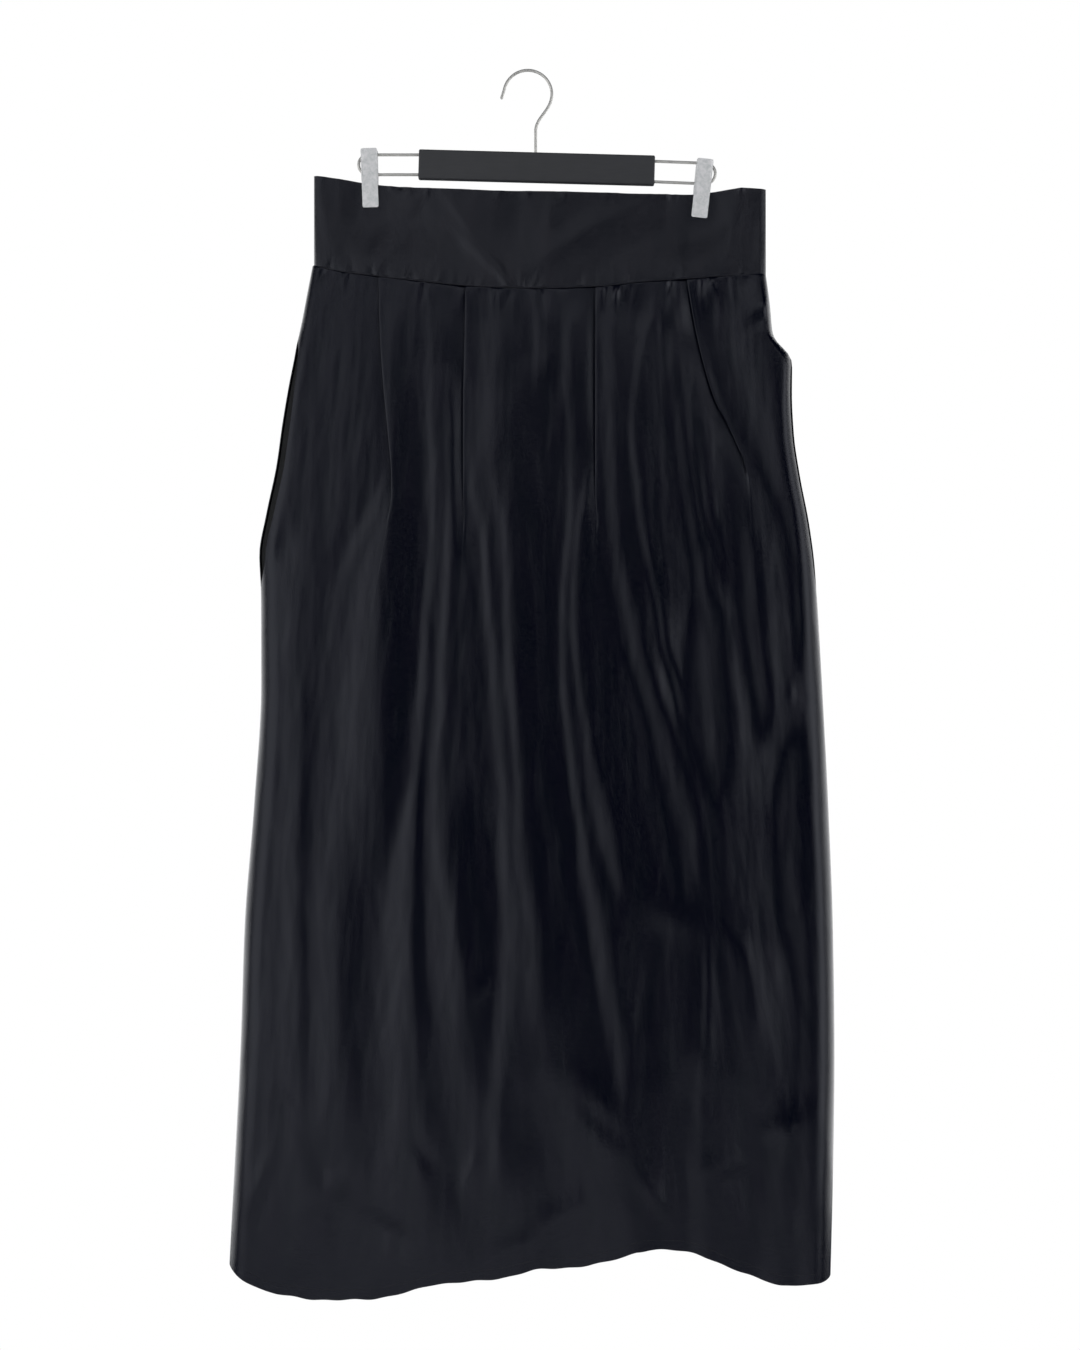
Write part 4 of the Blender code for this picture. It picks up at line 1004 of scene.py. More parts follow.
# Each long fold from top to bottom: drop, place, how far its cloth turns to the left (to the
# right, where it is minus) in degrees, and half its width
FRONT_FOLDS = [
    [(0.007, -172.7, 3, 26.1), (0.057, -169.1, 5, 26.1), (0.118, -165.4, 4, 24.1),
     (0.168, -167.3, 3, 22), (0.219, -175.5, 3, 22), (0.279, -198.2, 2, 20),
     (0.32, -207.3, 0, 16)],
    [(0.189, -127.2, 6, 3), (0.204, -131.7, 12, 4), (0.229, -139.9, 13, 6),
     (0.259, -154.5, 12, 7), (0.299, -169.1, 9, 9), (0.35, -180, 5, 11), (0.41, -187.3, 0, 12)],
    [(0.199, -123.5, 0, 3), (0.224, -128.1, 9, 4), (0.259, -136.3, 12, 7),
     (0.289, -143.6, 12, 10), (0.33, -149, 12, 13), (0.38, -154.5, 12, 15),
     (0.42, -160, 11, 17), (0.461, -160, 11, 18), (0.501, -167.3, 9, 17),
     (0.551, -180, 7.5, 12), (0.602, -184.6, 8, 12), (0.672, -183.7, 8.5, 10),
     (0.743, -187.3, 8, 9), (0.824, -187.3, 7, 12), (0.884, -170.9, 8, 20),
     (0.955, -160, 8, 24), (1.035, -160, 7, 24)],
    [(0.249, -225.6, 4, 10), (0.279, -221, 9, 16), (0.34, -222.8, 9, 14),
     (0.42, -219.2, 8, 10), (0.501, -219.2, 9, 8), (0.592, -221, 9, 7),
     (0.682, -218.3, 9, 7), (0.753, -218.3, 6, 8), (0.824, -216.4, 7.5, 13),
     (0.924, -218.3, 8, 15), (1.035, -216.4, 7, 14)],
    [(0.007, -92.6, 3, 5), (0.037, -91.6, 7, 5), (0.068, -89.8, 9, 4), (0.127, -89.8, 12, 3.5),
     (0.199, -87.1, 13, 3.5), (0.275, -88.9, 13, 4), (0.328, -93.5, 13, 4),
     (0.379, -96.2, 13, 4), (0.43, -99.8, 13, 4.5), (0.482, -102.6, 13, 5),
     (0.533, -109.9, 13, 8), (0.585, -116.2, 13, 11), (0.622, -119, 13, 16),
     (0.672, -119.9, 13, 19), (0.733, -119, 12, 18), (0.773, -119.9, 10, 16),
     (0.824, -118.1, 10, 20), (0.894, -120.8, 10, 28.1), (0.955, -116.2, 9, 30.1),
     (1.035, -116.2, 8, 30.1)],
    [(0.093, -75.2, 0, 4), (0.144, -71.6, 11, 3.5), (0.199, -71.6, 12, 3.5),
     (0.275, -73.4, 12, 4), (0.328, -77.1, 12, 4.5), (0.43, -80.7, 12, 4.5),
     (0.482, -84.4, 12, 4.5), (0.533, -85.3, 12, 6), (0.585, -82.5, 12, 10),
     (0.622, -77.1, 12, 14), (0.682, -73.4, 13, 16), (0.733, -70.7, 11, 15),
     (0.783, -66.1, 8, 14), (0.834, -54.3, 8, 20), (0.894, -48.8, 8, 22), (0.955, -54.3, 0, 20)],
    [(0.003, -32.4, 6, 10), (0.057, -34.2, 9, 11), (0.118, -37, 9, 11), (0.168, -39.7, 7, 9),
     (0.209, -41.5, 0, 8)],
    [(0.158, -55.2, 0, 4), (0.199, -52.5, 9, 4), (0.224, -46.1, 13, 4), (0.275, -38.8, 13, 4),
     (0.328, -36.1, 13, 4.5), (0.379, -31.5, 13, 4.5), (0.456, -27.9, 13, 4.5),
     (0.507, -23.3, 13, 4.5), (0.585, -21.5, 13, 6), (0.652, -17.9, 12, 9),
     (0.723, -21.5, 12, 10), (0.783, -25.1, 10, 9), (0.834, -31.5, 9, 7), (0.914, -32.4, 8, 6),
     (0.985, -34.2, 0, 8)],
    [(0.183, -34.2, 0, 4), (0.219, -27, 10, 4), (0.25, -20.6, 12, 4.5), (0.328, -17.9, 12, 5),
     (0.379, -17.9, 12, 5), (0.43, -13.3, 12, 4.5), (0.482, -9.7, 12, 4.5),
     (0.558, -8.7, 11, 4.5), (0.602, -3.3, 10, 8), (0.652, 2.2, 10, 11), (0.723, 4, 9, 12),
     (0.783, 4.9, 0, 12)],
    [(0.001, 5.8, 4, 7), (0.037, 8.6, 10, 8), (0.068, 11.3, 10, 8), (0.09, 9.5, 5, 7),
     (0.113, 7.7, 0, 6)],
    [(0.007, 35, 2, 6), (0.047, 35, 10, 6), (0.098, 35.9, 11, 6), (0.138, 37.7, 10, 4),
     (0.199, 39.5, 12, 3.5), (0.263, 36.8, 13, 3.5), (0.328, 32.3, 13, 4),
     (0.379, 31.3, 13, 4), (0.43, 35, 13, 4), (0.469, 37.7, 13, 4.5), (0.507, 41.4, 13, 4.5),
     (0.558, 48.7, 13, 5), (0.602, 53.2, 13, 8), (0.639, 61.4, 13, 9), (0.712, 69.6, 12, 9),
     (0.784, 82.4, 10, 8), (0.864, 90.6, 0, 8)],
    [(0.123, 55.9, 0, 3), (0.168, 56.9, 9, 3.5), (0.199, 54.1, 10, 3.5), (0.25, 45.9, 11, 3.5),
     (0.301, 43.2, 11, 3.5), (0.34, 41.4, 10, 3.5), (0.391, 45, 11, 3.5), (0.43, 49.6, 11, 4),
     (0.482, 56.9, 12, 6), (0.521, 63.2, 12, 9), (0.561, 69.6, 12, 9), (0.602, 77.8, 10, 7),
     (0.652, 91.5, 0, 5)],
    [(0.007, 70.5, 2, 5), (0.047, 72.3, 9, 7), (0.098, 73.2, 9, 8), (0.158, 74.2, 9, 8),
     (0.219, 76.9, 8, 7), (0.259, 78.7, 9, 6), (0.309, 86, 10, 8), (0.35, 93.3, 11, 10),
     (0.384, 98.8, 11, 10), (0.417, 107, 11, 9), (0.456, 118.8, 11, 11),
     (0.494, 127.9, 11, 13), (0.545, 140.7, 10, 12), (0.592, 149.8, 9, 11),
     (0.662, 151.6, 0, 10)],
    [(0.001, 109.7, 5, 8), (0.027, 110.6, 9, 9), (0.052, 107, 9, 6), (0.103, 98.8, 10, 4),
     (0.157, 96, 11, 3.5), (0.198, 98.8, 13, 3.5), (0.25, 104.2, 13, 3.5),
     (0.301, 113.3, 13, 3.5), (0.34, 120.6, 13, 3.5), (0.379, 125.2, 12, 4),
     (0.412, 134.3, 11, 4.5), (0.443, 141.6, 8, 5), (0.481, 146.1, 0, 6)],
    [(0.007, 127, 3, 5), (0.068, 130.6, 9, 6), (0.118, 134.3, 10, 5), (0.146, 137, 11, 5),
     (0.193, 142.5, 11, 5), (0.215, 144.3, 11, 5), (0.265, 152.5, 11, 5.5),
     (0.317, 159.8, 11, 8), (0.35, 165.3, 13, 14), (0.4, 164.3, 15, 18),
     (0.441, 166.2, 15, 19), (0.476, 168, 13, 18), (0.511, 170.7, 7, 16), (0.545, 172, 0, 14)],
    [(0.088, 153.4, 0, 3), (0.128, 156.1, 9, 3.5), (0.163, 157.1, 10, 3.5),
     (0.231, 164.3, 10, 4), (0.259, 171.6, 8, 5), (0.289, 177.1, 5, 6), (0.33, 182.6, 0, 6)],
    [(0.133, 175.3, 0, 4), (0.168, 182.6, 9, 5), (0.199, 189.9, 9, 6), (0.239, 195.3, 8, 9),
     (0.279, 200.8, 11, 11), (0.34, 205.3, 12, 12), (0.4, 211.7, 12, 12), (0.441, 217.2, 8, 12),
     (0.481, 219, 0, 12)],
    [(0.001, 180, 11, 24), (0.057, 194, 17, 28), (0.118, 208, 17, 27), (0.158, 219, 16, 22),
     (0.199, 230, 14, 15), (0.239, 242, 12, 11), (0.279, 247, 10, 8), (0.34, 248.2, 9, 7),
     (0.41, 247.2, 0, 7)],
    [(0.441, 246.3, 0, 10), (0.491, 241.8, 10, 13), (0.531, 239.1, 11, 16),
     (0.582, 240.9, 11, 15), (0.632, 244.5, 11, 13), (0.682, 250.9, 10, 9),
     (0.743, 253.6, 9, 8), (0.824, 253.6, 8, 9), (1.035, 253.6, 8, 10)],
    [(0.642, 129.7, 0, 14), (0.682, 135.2, 7, 22), (0.733, 135.2, 8, 24.1),
     (0.783, 131.6, 7, 20), (0.844, 122.4, 0, 12)],
    [(0.652, 162.5, 0, 3), (0.713, 162.5, 10, 4), (0.783, 159.8, 10, 4), (0.844, 154.3, 9, 6),
     (0.914, 153.4, 9, 9), (0.965, 154.3, 7, 9), (1.035, 155.2, 4, 9)],
    [(0.652, 180.7, 0, 10), (0.693, 189.9, 9, 16), (0.733, 193.5, 9, 17),
     (0.773, 193.5, 6, 14), (0.819, 198.1, 0, 10)],
    [(0.803, 226.3, 0, 12), (0.854, 226.3, 8, 14), (0.904, 226.3, 9, 14),
     (0.965, 222.7, 8, 14), (1.035, 220.8, 7, 14)],
    [(0.773, 29.5, 0, 20), (0.834, 35, 7, 26.1), (0.874, 47.7, 9, 34.1),
     (0.924, 58.7, 9, 38.1), (1.035, 64.1, 8, 38.1)],
    [(0.047, -125.4, 0, 8), (0.088, -116.2, -8, 12), (0.168, -113.5, -9, 14),
     (0.269, -112.6, -9, 16), (0.37, -116.2, -9, 16), (0.471, -119.9, -8, 14),
     (0.541, -127.2, -6, 10), (0.612, -140.8, 0, 8)],
    [(0.083, -10.6, 0, 8), (0.138, -3.3, -8, 14), (0.219, 6.7, -9, 18), (0.32, 9.5, -9, 18),
     (0.42, 11.3, -9, 18), (0.521, 16.8, -9, 16), (0.602, 25.9, -9, 16), (0.682, 35, -8, 18),
     (0.763, 43.2, -6, 18), (0.834, 47.7, 0, 18)],
    [(0.078, -66.1, 0, 5), (0.11, -64.4, -17, 6), (0.2, -64, -18, 6), (0.239, -62, -15, 5),
     (0.289, -60, 0, 5)],
    [(0, 58, -9, 3), (0.03, 58, -16, 4), (0.1, 58.5, -18, 4), (0.2, 59, -18, 4),
     (0.26, 60, -11, 6), (0.33, 62, -8, 8), (0.45, 66, -8, 9), (0.55, 72, 0, 9)],
    [(0.042, 113.3, 0, 7), (0.078, 116.1, -7, 9), (0.118, 117.9, -9, 10),
     (0.199, 120.6, -9, 10), (0.259, 127.9, -8, 10), (0.33, 143.4, 0, 8)],
    [(0, 140, -9, 3), (0.057, 148, -19, 5), (0.11, 163, -19, 8), (0.14, 170, -18, 9),
     (0.18, 188, -9, 7), (0.23, 198, 0, 6)],
    [(0.259, 225.4, 0, 8), (0.34, 229.9, -7, 8), (0.42, 233.6, -7, 9), (0.481, 220.8, -6, 12),
     (0.541, 209.9, -6, 14), (0.622, 207.2, -6, 18), (0.682, 216.3, -7, 18),
     (0.743, 225.4, -7, 18), (0.834, 220.8, 0, 16)],
    [(0.441, -95.3, 0, 4), (0.521, -98, -12, 4), (0.622, -98.9, -12, 4.5),
     (0.723, -97.1, -10, 5), (0.793, -93.5, 0, 6)],
    [(0.491, -57, 0, 8), (0.551, -54.3, -7, 14), (0.622, -48.8, -8, 14),
     (0.693, -43.4, -7, 10), (0.753, -39.7, 0, 8)],
    [(0.753, 105.1, 0, 4), (0.857, 102.4, -8, 7), (0.924, 120.6, -6, 14),
     (1.035, 124.3, -6, 16)],
    [(0.561, -157.2, 0, 14), (0.622, -158.1, -5, 16), (0.723, -160, -5, 16),
     (0.803, -157.2, -5, 14), (0.864, -156.3, 0, 12)],
    [(0.35, -202.8, 0, 8), (0.42, -201.9, -4, 8), (0.521, -201.9, -5, 8),
     (0.622, -204.6, -4, 7), (0.703, -203.7, -5, 7), (0.824, -203.7, -5, 7),
     (0.884, -190.9, -5, 7), (0.955, -180, -4, 7), (0.995, -177.3, 0, 7)],
]
# Short nicks and creases: place, height, lean from upright, half length, half width and height
FRONT_NICKS = table("x z lean length width height", [
    (243.0, -572.0, 50.0, 8.0, 3.0, 1.4),
    (251.0, -577.0, -60.0, 9.0, 3.0, -1.2),
    (-42.0, -845.0, 30.0, 14.0, 6.0, 1.0),
    (244.0, -778.0, 74.0, 10.0, 3.5, 1.0),
    (239.0, -980.0, 20.0, 22.0, 5.0, 1.2),
    (-258.0, -915.0, 12.0, 30.0, 2.2, -1.0),
    (222.0, -216.0, 62.0, 14.0, 4.0, 1.2),
    (214.0, -232.0, 58.0, 18.0, 4.5, -1.0),
    (-233.0, -436.0, 0.0, 16.0, 5.0, 1.6),
    (176.0, -1006.0, 80.0, 24.0, 6.0, 0.9),
    (189.0, -1019.0, 75.0, 20.0, 6.0, -0.8),
    (-52.0, -1011.0, 20.0, 18.0, 6.0, 1.3),
    (-94.0, -994.0, -30.0, 18.0, 7.0, -1.3),
    (231.0, -973.0, 76.0, 18.0, 6.0, 1.3),
    (30.0, -1050.0, 60.0, 28.0, 8.0, 1.5),
    (-180.0, -1028.0, 50.0, 26.0, 8.0, 1.4),
    (-130.0, -1064.0, -60.0, 24.0, 8.0, -1.3),
    (-244.0, -1019.0, 20.0, 28.0, 7.0, 1.3),
    (66.0, -964.0, -50.0, 24.0, 8.0, -1.4),
    (-7.0, -1078.0, 70.0, 26.0, 7.0, 1.1),
    (252.0, -1055.0, 10.0, 30.0, 7.0, 1.2),
    (118.0, -1034.0, -35.0, 26.0, 8.0, 1.4),
    (-215.0, -960.0, -25.0, 26.0, 8.0, -1.2),
])

# A knife pleat point by point, from the cloth below to the cloth on top: its reach in overlaps,
# its swing past the edges, its depth, and its reach once it has opened
angles = np.linspace(0.0, math.pi, TURN_STEPS)
turn_in, turn_out = MIDDLE_LAYER
PLEAT_REACH = np.concatenate((np.ones(TURN_STEPS), (0.75, 0.5, 0.25), np.zeros(TURN_STEPS)))
PLEAT_SWING = np.concatenate((np.sin(angles), (0.0, 0.0, 0.0), -np.sin(angles)))
PLEAT_DEPTHS = np.concatenate((1 - (1 - turn_in) * (1 - np.cos(angles)) / 2,
                               turn_in + (turn_out - turn_in) * np.array((0.25, 0.5, 0.75)),
                               turn_out * (1 + np.cos(angles)) / 2))
PLEAT_OPEN = 0.5 - np.sin(np.arcsin(1 - 2 * PLEAT_DEPTHS) / 3)


def pleat_points(edge, overlap, reach):
    """Places across one knife pleat, from the cloth below it to the cloth on top."""
    if overlap < 0:
        return edge + overlap * PLEAT_OPEN
    turn = reach * ease(overlap / FULL_TURN_OVERLAP)
    return edge + overlap * PLEAT_REACH + turn * PLEAT_SWING


def across_panel(start, stop, pleats, overlaps, counts, side_first, side_last):
    """Places across a panel and how far each sinks below the top layer, 0 to 1."""
    bend = 1 - np.cos(np.linspace(0.0, math.pi / 2, SIDE_STEPS))
    places = [start + side_first * bend] if side_first else [np.array([start])]
    sinks = [np.zeros(len(places[0]))]
    corners = [pleat_points(*pleat) for pleat in zip(pleats, overlaps, TURN_REACH)]
    end = stop - side_last * bend[::-1] if side_last else np.array([stop])
    for count, corner in zip(counts, corners + [None]):
        goal = end[0] if corner is None else corner[0]
        sink = 0.0 if corner is None else 1.0
        share = np.arange(1, count + 1) / (count + 1)
        places.append(places[-1][-1] + share * (goal - places[-1][-1]))
        sinks.append(share ** PLEAT_DIP * sink)
        places.append(end if corner is None else corner)
        sinks.append(np.zeros(len(end)) if corner is None else PLEAT_DEPTHS)
    return np.concatenate(places), np.concatenate(sinks)


def half_depth(x, drop):
    left = read(OUTLINE, "drop", "left", drop)
    right = read(OUTLINE, "drop", "right", drop)
    return flat_depth(x, drop) * rounded(x, left, right, read(DEPTH, "drop", "round", drop))


def panel_slope(x, drop):
    """How steeply the panel's own round form comes forward from left to right."""
    inside = np.clip(x, read(OUTLINE, "drop", "left", drop), read(OUTLINE, "drop", "right", drop))
    return np.gradient(flat_depth(inside, drop))


def evened(values):
    """The mean of a row of values, 1 mm apart, over a hand's width round each of them."""
    reach = np.arange(-2 * SETTLE, 2 * SETTLE + 1)
    weights = np.exp(-(reach / SETTLE) ** 2)
    return np.convolve(np.pad(values, 2 * SETTLE, "edge"), weights / weights.sum(), "valid")


def relief(folds, x, drop):
    """Height of the folds above the panel at one drop: their slopes, added up across it.

    What rises towards each fold sinks again where the cloth is level, between the folds.
    """
    grid = np.arange(OUTLINE["left"][-1] - 3 * SETTLE, OUTLINE["right"][-1] + 3 * SETTLE)
    slope = np.zeros_like(grid)
    folded = np.zeros_like(grid)
    for knots in folds:
        drops, places, turns, halves = np.array(knots, float).T
        place, turn, half = (smooth_curve(drops, column, drop)
                             for column in (places, turns, halves))
        share = np.exp(-((grid - place) / half) ** 2)
        slope += math.tan(math.radians(turn)) * share
        folded = np.maximum(folded, share * ease(abs(turn) / FULL_FOLD_DEGREES))
    slope -= folded * panel_slope(grid, drop)
    level = 1 / (1 + (slope / LEVEL_SLOPE) ** 2)
    slope -= evened(slope) * level / evened(level)
    height = np.cumsum(slope)
    height -= evened(height)
    return np.interp(x, grid, height) * (SEAM_HOLD + (1 - SEAM_HOLD) * ease(drop / SEAM_FADE))


def panel_section(drop, facing, start, stop, rounds, counts, names, pleats, overlap, folds):
    """Places across a panel at one drop, how deep they lie, and how much relief they take."""
    edges = [read(pleats, "drop", name, drop) for name in names]
    overlaps = [read(overlap, "drop", name, drop) for name in names]
    x, sink = across_panel(start, stop, edges, overlaps, counts, *rounds)
    depth = half_depth(x, drop)
    calm = np.clip(depth / read(DEPTH, "drop", "side", drop), 0.0, 1.0) ** 2
    step = read(overlap, "drop", "step", drop)
    return x, facing * (depth - calm * (sink * step - relief(folds, x, drop))), calm


def front_section(drop):
    left = read(OUTLINE, "drop", "left", drop) + read(MOUTH, "drop", "left", drop)
    right = read(OUTLINE, "drop", "right", drop) - read(MOUTH, "drop", "right", drop)
    rounds = (read(DEPTH, "drop", "round", drop),) * 2
    return panel_section(drop, -1, left, right, rounds, FRONT_COLUMNS, PLEAT_NAMES,
                         FRONT_PLEATS, FRONT_OVERLAP, FRONT_FOLDS)


def hang(section_of, hem, nicks, facing, row_count):
    """Give each row of a panel its heights, from the waist seam to the hem, and its nicks."""
    top_x = section_of(0.0)[0]
    foot_x = section_of(1.0)[0]
    seam = read(WAIST, "x", "seam", top_x)
    top = seam + TUCK_IN
    foot = read(hem, "x", "z", foot_x)
    foot += HEM_WAVE * np.sin(foot_x / HEM_WAVE_REACH) * np.sin(foot_x / HEM_WAVE_SWELL + 1.0)
    rows = []
    lower = np.linspace(3 * TOP_DROPS[-1], 1.0, row_count - len(TOP_DROPS)) ** ROW_SPREAD
    for drop in (*TOP_DROPS, *lower):
        x, y, calm = section_of(drop)
        z = top + (foot - top) * drop
        below = np.maximum(seam - z, 0.0)
        rolled_in = SEAM_ROLL * np.exp(-(below / SEAM_ROLL) ** 2)
        puckers = creases(nicks, x, z) * ease(below / PUCKER_FADE)
        rows.append((x, y + facing * calm * (puckers - rolled_in), z))
    return rows


def joined(*sources):
    """Several tables of creases as one."""
    columns = [list(source.values()) for source in sources]
    return dict(zip(sources[0], (np.concatenate(column) for column in zip(*columns))))


FRONT_CUT_METRES = (0.640, 0.930)
waist_puckers = seam_puckers(seed=5, count=64, left=-190.0, right=212.0, reach=13.0,
                             strength=1.1, seam_z=lambda x: seam_height(x) - 5.0)
front_nicks = joined(FRONT_NICKS, waist_puckers)
front = cloth_wall("skirt_front_cloth",
                   hang(front_section, FRONT_HEM, front_nicks, -1, FRONT_ROWS),
                   CLOTH, satin, *FRONT_CUT_METRES)
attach(front, "skirt_on_hanger")
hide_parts("skirt_front")


# The back of the skirt: two panels that meet in the centre-back seam, each laid in two knife
# pleats under the waistband, hemmed as the front is.
BACK_ROWS = 120
BACK_COLUMNS = (34, 46, 50)
# The back's hem, pleats, overlaps, folds and nicks, each with the same columns as the front's
BACK_HEM = table("x z", [
    (-275.5, -1102.0),
    (-225.0, -1108.0),
    (-150.0, -1099.0),
    (-80.0, -1104.0),
    (CENTRE_BACK, -1096.0),
    (90.0, -1103.0),
    (160.0, -1097.0),
    (235.0, -1109.0),
    (279.7, -1111.2),
])
BACK_PLEATS = table("drop first second third fourth", [
    (0.00, -135.0, -62.0, 82.0, 155.0),
    (0.20, -141.0, -66.0, 88.0, 168.0),
    (0.45, -156.0, -74.0, 97.0, 187.0),
    (1.00, -182.0, -92.0, 116.0, 208.0),
])
BACK_OVERLAP = table("drop first second third fourth step", [
    (0.00, 13.0, 13.0, 13.0, 13.0, 3.8),
    (0.12, 10.0, 11.0, 11.0, 10.0, 3.8),
    (0.20, 2.0, 3.0, 4.0, 2.0, 1.6),
    (0.23, -2.0, -1.0, 0.5, -2.0, 0.5),
    (0.28, -8.0, -7.0, -6.0, -8.0, 0.1),
    (0.60, -26.0, -24.0, -24.0, -26.0, 0.0),
    (1.00, -36.0, -34.0, -34.0, -36.0, 0.0),
])
BACK_FOLDS = [
    [(0.18, -214, 0, 10), (0.30, -216, 9, 14), (0.60, -222, 11, 15), (1.00, -228, 9, 17)],
    [(0.02, -178, 3, 6), (0.12, -182, 9, 7), (0.30, -186, 10, 8), (0.50, -190, 6, 10),
     (0.70, -192, 0, 10)],
    [(0.10, -160, 0, 6), (0.24, -166, -9, 8), (0.50, -172, -9, 10), (0.80, -176, -5, 12),
     (1.00, -180, -3, 12)],
    [(0.16, -128, 0, 5), (0.26, -130, 11, 6), (0.45, -133, 12, 7), (0.70, -138, 11, 11),
     (1.00, -146, 9, 15)],
    [(0.04, -104, 4, 4), (0.14, -106, 9, 4), (0.30, -104, 11, 5), (0.46, -100, 8, 6),
     (0.60, -96, 0, 7)],
    [(0.12, -92, 0, 6), (0.24, -90, -8, 8), (0.48, -86, -10, 9), (0.80, -84, -9, 12),
     (1.00, -82, -7, 14)],
    [(0.20, -64, 0, 5), (0.32, -62, 11, 5), (0.50, -58, 12, 7), (0.76, -56, 10, 10),
     (1.00, -58, 8, 13)],
    [(0.05, -34, -4, 5), (0.16, -32, -8, 7), (0.40, -30, -9, 9), (0.75, -30, -8, 12),
     (1.00, -32, -6, 14)],
    [(0.06, -12, 3, 4), (0.20, -10, 8, 4), (0.36, -8, 9, 5), (0.55, -4, 6, 6), (0.68, 0, 0, 7)],
    [(0.14, 30, 0, 5), (0.26, 30, -9, 6), (0.52, 32, -10, 8), (0.80, 36, -8, 11),
     (1.00, 38, -6, 13)],
    [(0.24, 48, 0, 5), (0.36, 50, 11, 6), (0.60, 54, 12, 8), (0.84, 58, 10, 12),
     (1.00, 62, 8, 14)],
    [(0.02, 108, -3, 5), (0.12, 112, -8, 7), (0.34, 120, -9, 9), (0.66, 134, -6, 12),
     (0.90, 142, 0, 14)],
    [(0.06, 132, 3, 4), (0.16, 138, 9, 5), (0.34, 148, 12, 6), (0.60, 160, 12, 10),
     (1.00, 172, 9, 15)],
    [(0.26, 186, 0, 6), (0.40, 190, -8, 9), (0.70, 196, -8, 12), (1.00, 200, -5, 14)],
    [(0.30, 222, 0, 7), (0.44, 226, 10, 9), (0.74, 232, 11, 12), (1.00, 236, 9, 14)],
    [(0.60, -112, 0, 7), (0.76, -114, -6, 9), (1.00, -118, -6, 12)],
    [(0.66, 96, 0, 8), (0.82, 98, 8, 10), (1.00, 100, 8, 13)],
]
BACK_NICKS = table("x z lean length width height", [
    (-190.0, -610.0, 40.0, 12.0, 4.0, 1.2),
    (120.0, -700.0, -35.0, 14.0, 5.0, 1.1),
    (-70.0, -880.0, 50.0, 12.0, 5.0, 1.0),
    (214.0, -500.0, -60.0, 12.0, 4.0, -1.0),
])


def back_section(drop, side):
    round_side = read(DEPTH, "drop", "round", drop)
    outer = read(OUTLINE, "drop", side, drop)
    if side == "left":
        start, stop, rounds = outer, CENTRE_BACK, (round_side, 0)
        names, counts = PLEAT_NAMES[:2], BACK_COLUMNS
    else:
        start, stop, rounds = CENTRE_BACK, outer, (0, round_side)
        names, counts = PLEAT_NAMES[2:], BACK_COLUMNS[::-1]
    return panel_section(drop, 1, start, stop, rounds, counts, names, BACK_PLEATS,
                         BACK_OVERLAP, BACK_FOLDS)


BACK_CUT_METRES = (0.330, 0.925)
for side, seed, left, right in (("left", 21, -190.0, 4.0), ("right", 22, 16.0, 212.0)):
    puckers = seam_puckers(seed, 22, left, right, reach=12.0, strength=0.7,
                           seam_z=lambda x: seam_height(x) - 6.0)
    sections = hang(lambda drop: back_section(drop, side), BACK_HEM,
                    joined(BACK_NICKS, puckers), 1, BACK_ROWS)
    back = cloth_wall("skirt_back_" + side + "_cloth", sections, CLOTH, satin,
                      *BACK_CUT_METRES)
    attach(back, "skirt_on_hanger")
    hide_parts("skirt_back_" + side)


# The hem's stitches: one row of black thread, 9 mm above the edge, through the narrow hem of
# the front and of both back panels.
HEM_STITCH_DROP = 0.990
HEM_STITCH = {"Length": 2.4, "Across": 0.45, "Thickness": 0.4, "Pitch": 3.3, "Unevenness": 0.3}

hem_lines = []
for facing, hem, section in ((-1, FRONT_HEM, front_section(HEM_STITCH_DROP)),
                             (1, BACK_HEM, back_section(HEM_STITCH_DROP, "left")),
                             (1, BACK_HEM, back_section(HEM_STITCH_DROP, "right"))):
    x, y, _ = section
    top = read(WAIST, "x", "seam", x)
    z = top + (read(hem, "x", "z", x) - top) * HEM_STITCH_DROP
    hem_lines.append(np.stack((x, y + facing * CLOTH / 2, z), axis=1)[SIDE_STEPS:-SIDE_STEPS])
hem_stitches = stitch("hem_stitches", hem_lines, HEM_STITCH, 8, black_thread)
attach(hem_stitches, "skirt_on_hanger")


# The pocket bags: for each side seam, two pieces of plain black cotton, one on the front's
# edge and one on the back's, lying flat inside the skirt behind the mouth.
BAG_CLOTH = 0.8
BAG_ROOM = 0.9
BAG_PLANE = 1.5
BAG_CURVE = 1.4
MOUTH_REACH = 12.0
BAG_ROWS = 70
BAG_COLUMNS = 40
# Thickness of the frame's own walls, in whose places the thinner cloth lies
FRAME_CLOTH = 1.2
BAG_WALL_IN_FRAME = 1.0
# By drop: how far the bag reaches in from the side seam, and how far its mouth stands open
BAG = table("drop reach open", [
    (0.06, 116.0, 0.00),
    (0.08, 132.0, 0.40),
    (0.10, 142.0, 0.85),
    (0.14, 150.0, 1.00),
    (0.20, 153.0, 1.00),
    (0.26, 150.0, 1.00),
    (0.30, 143.0, 0.80),
    (0.33, 130.0, 0.40),
    (0.40, 78.0, 0.00),
])

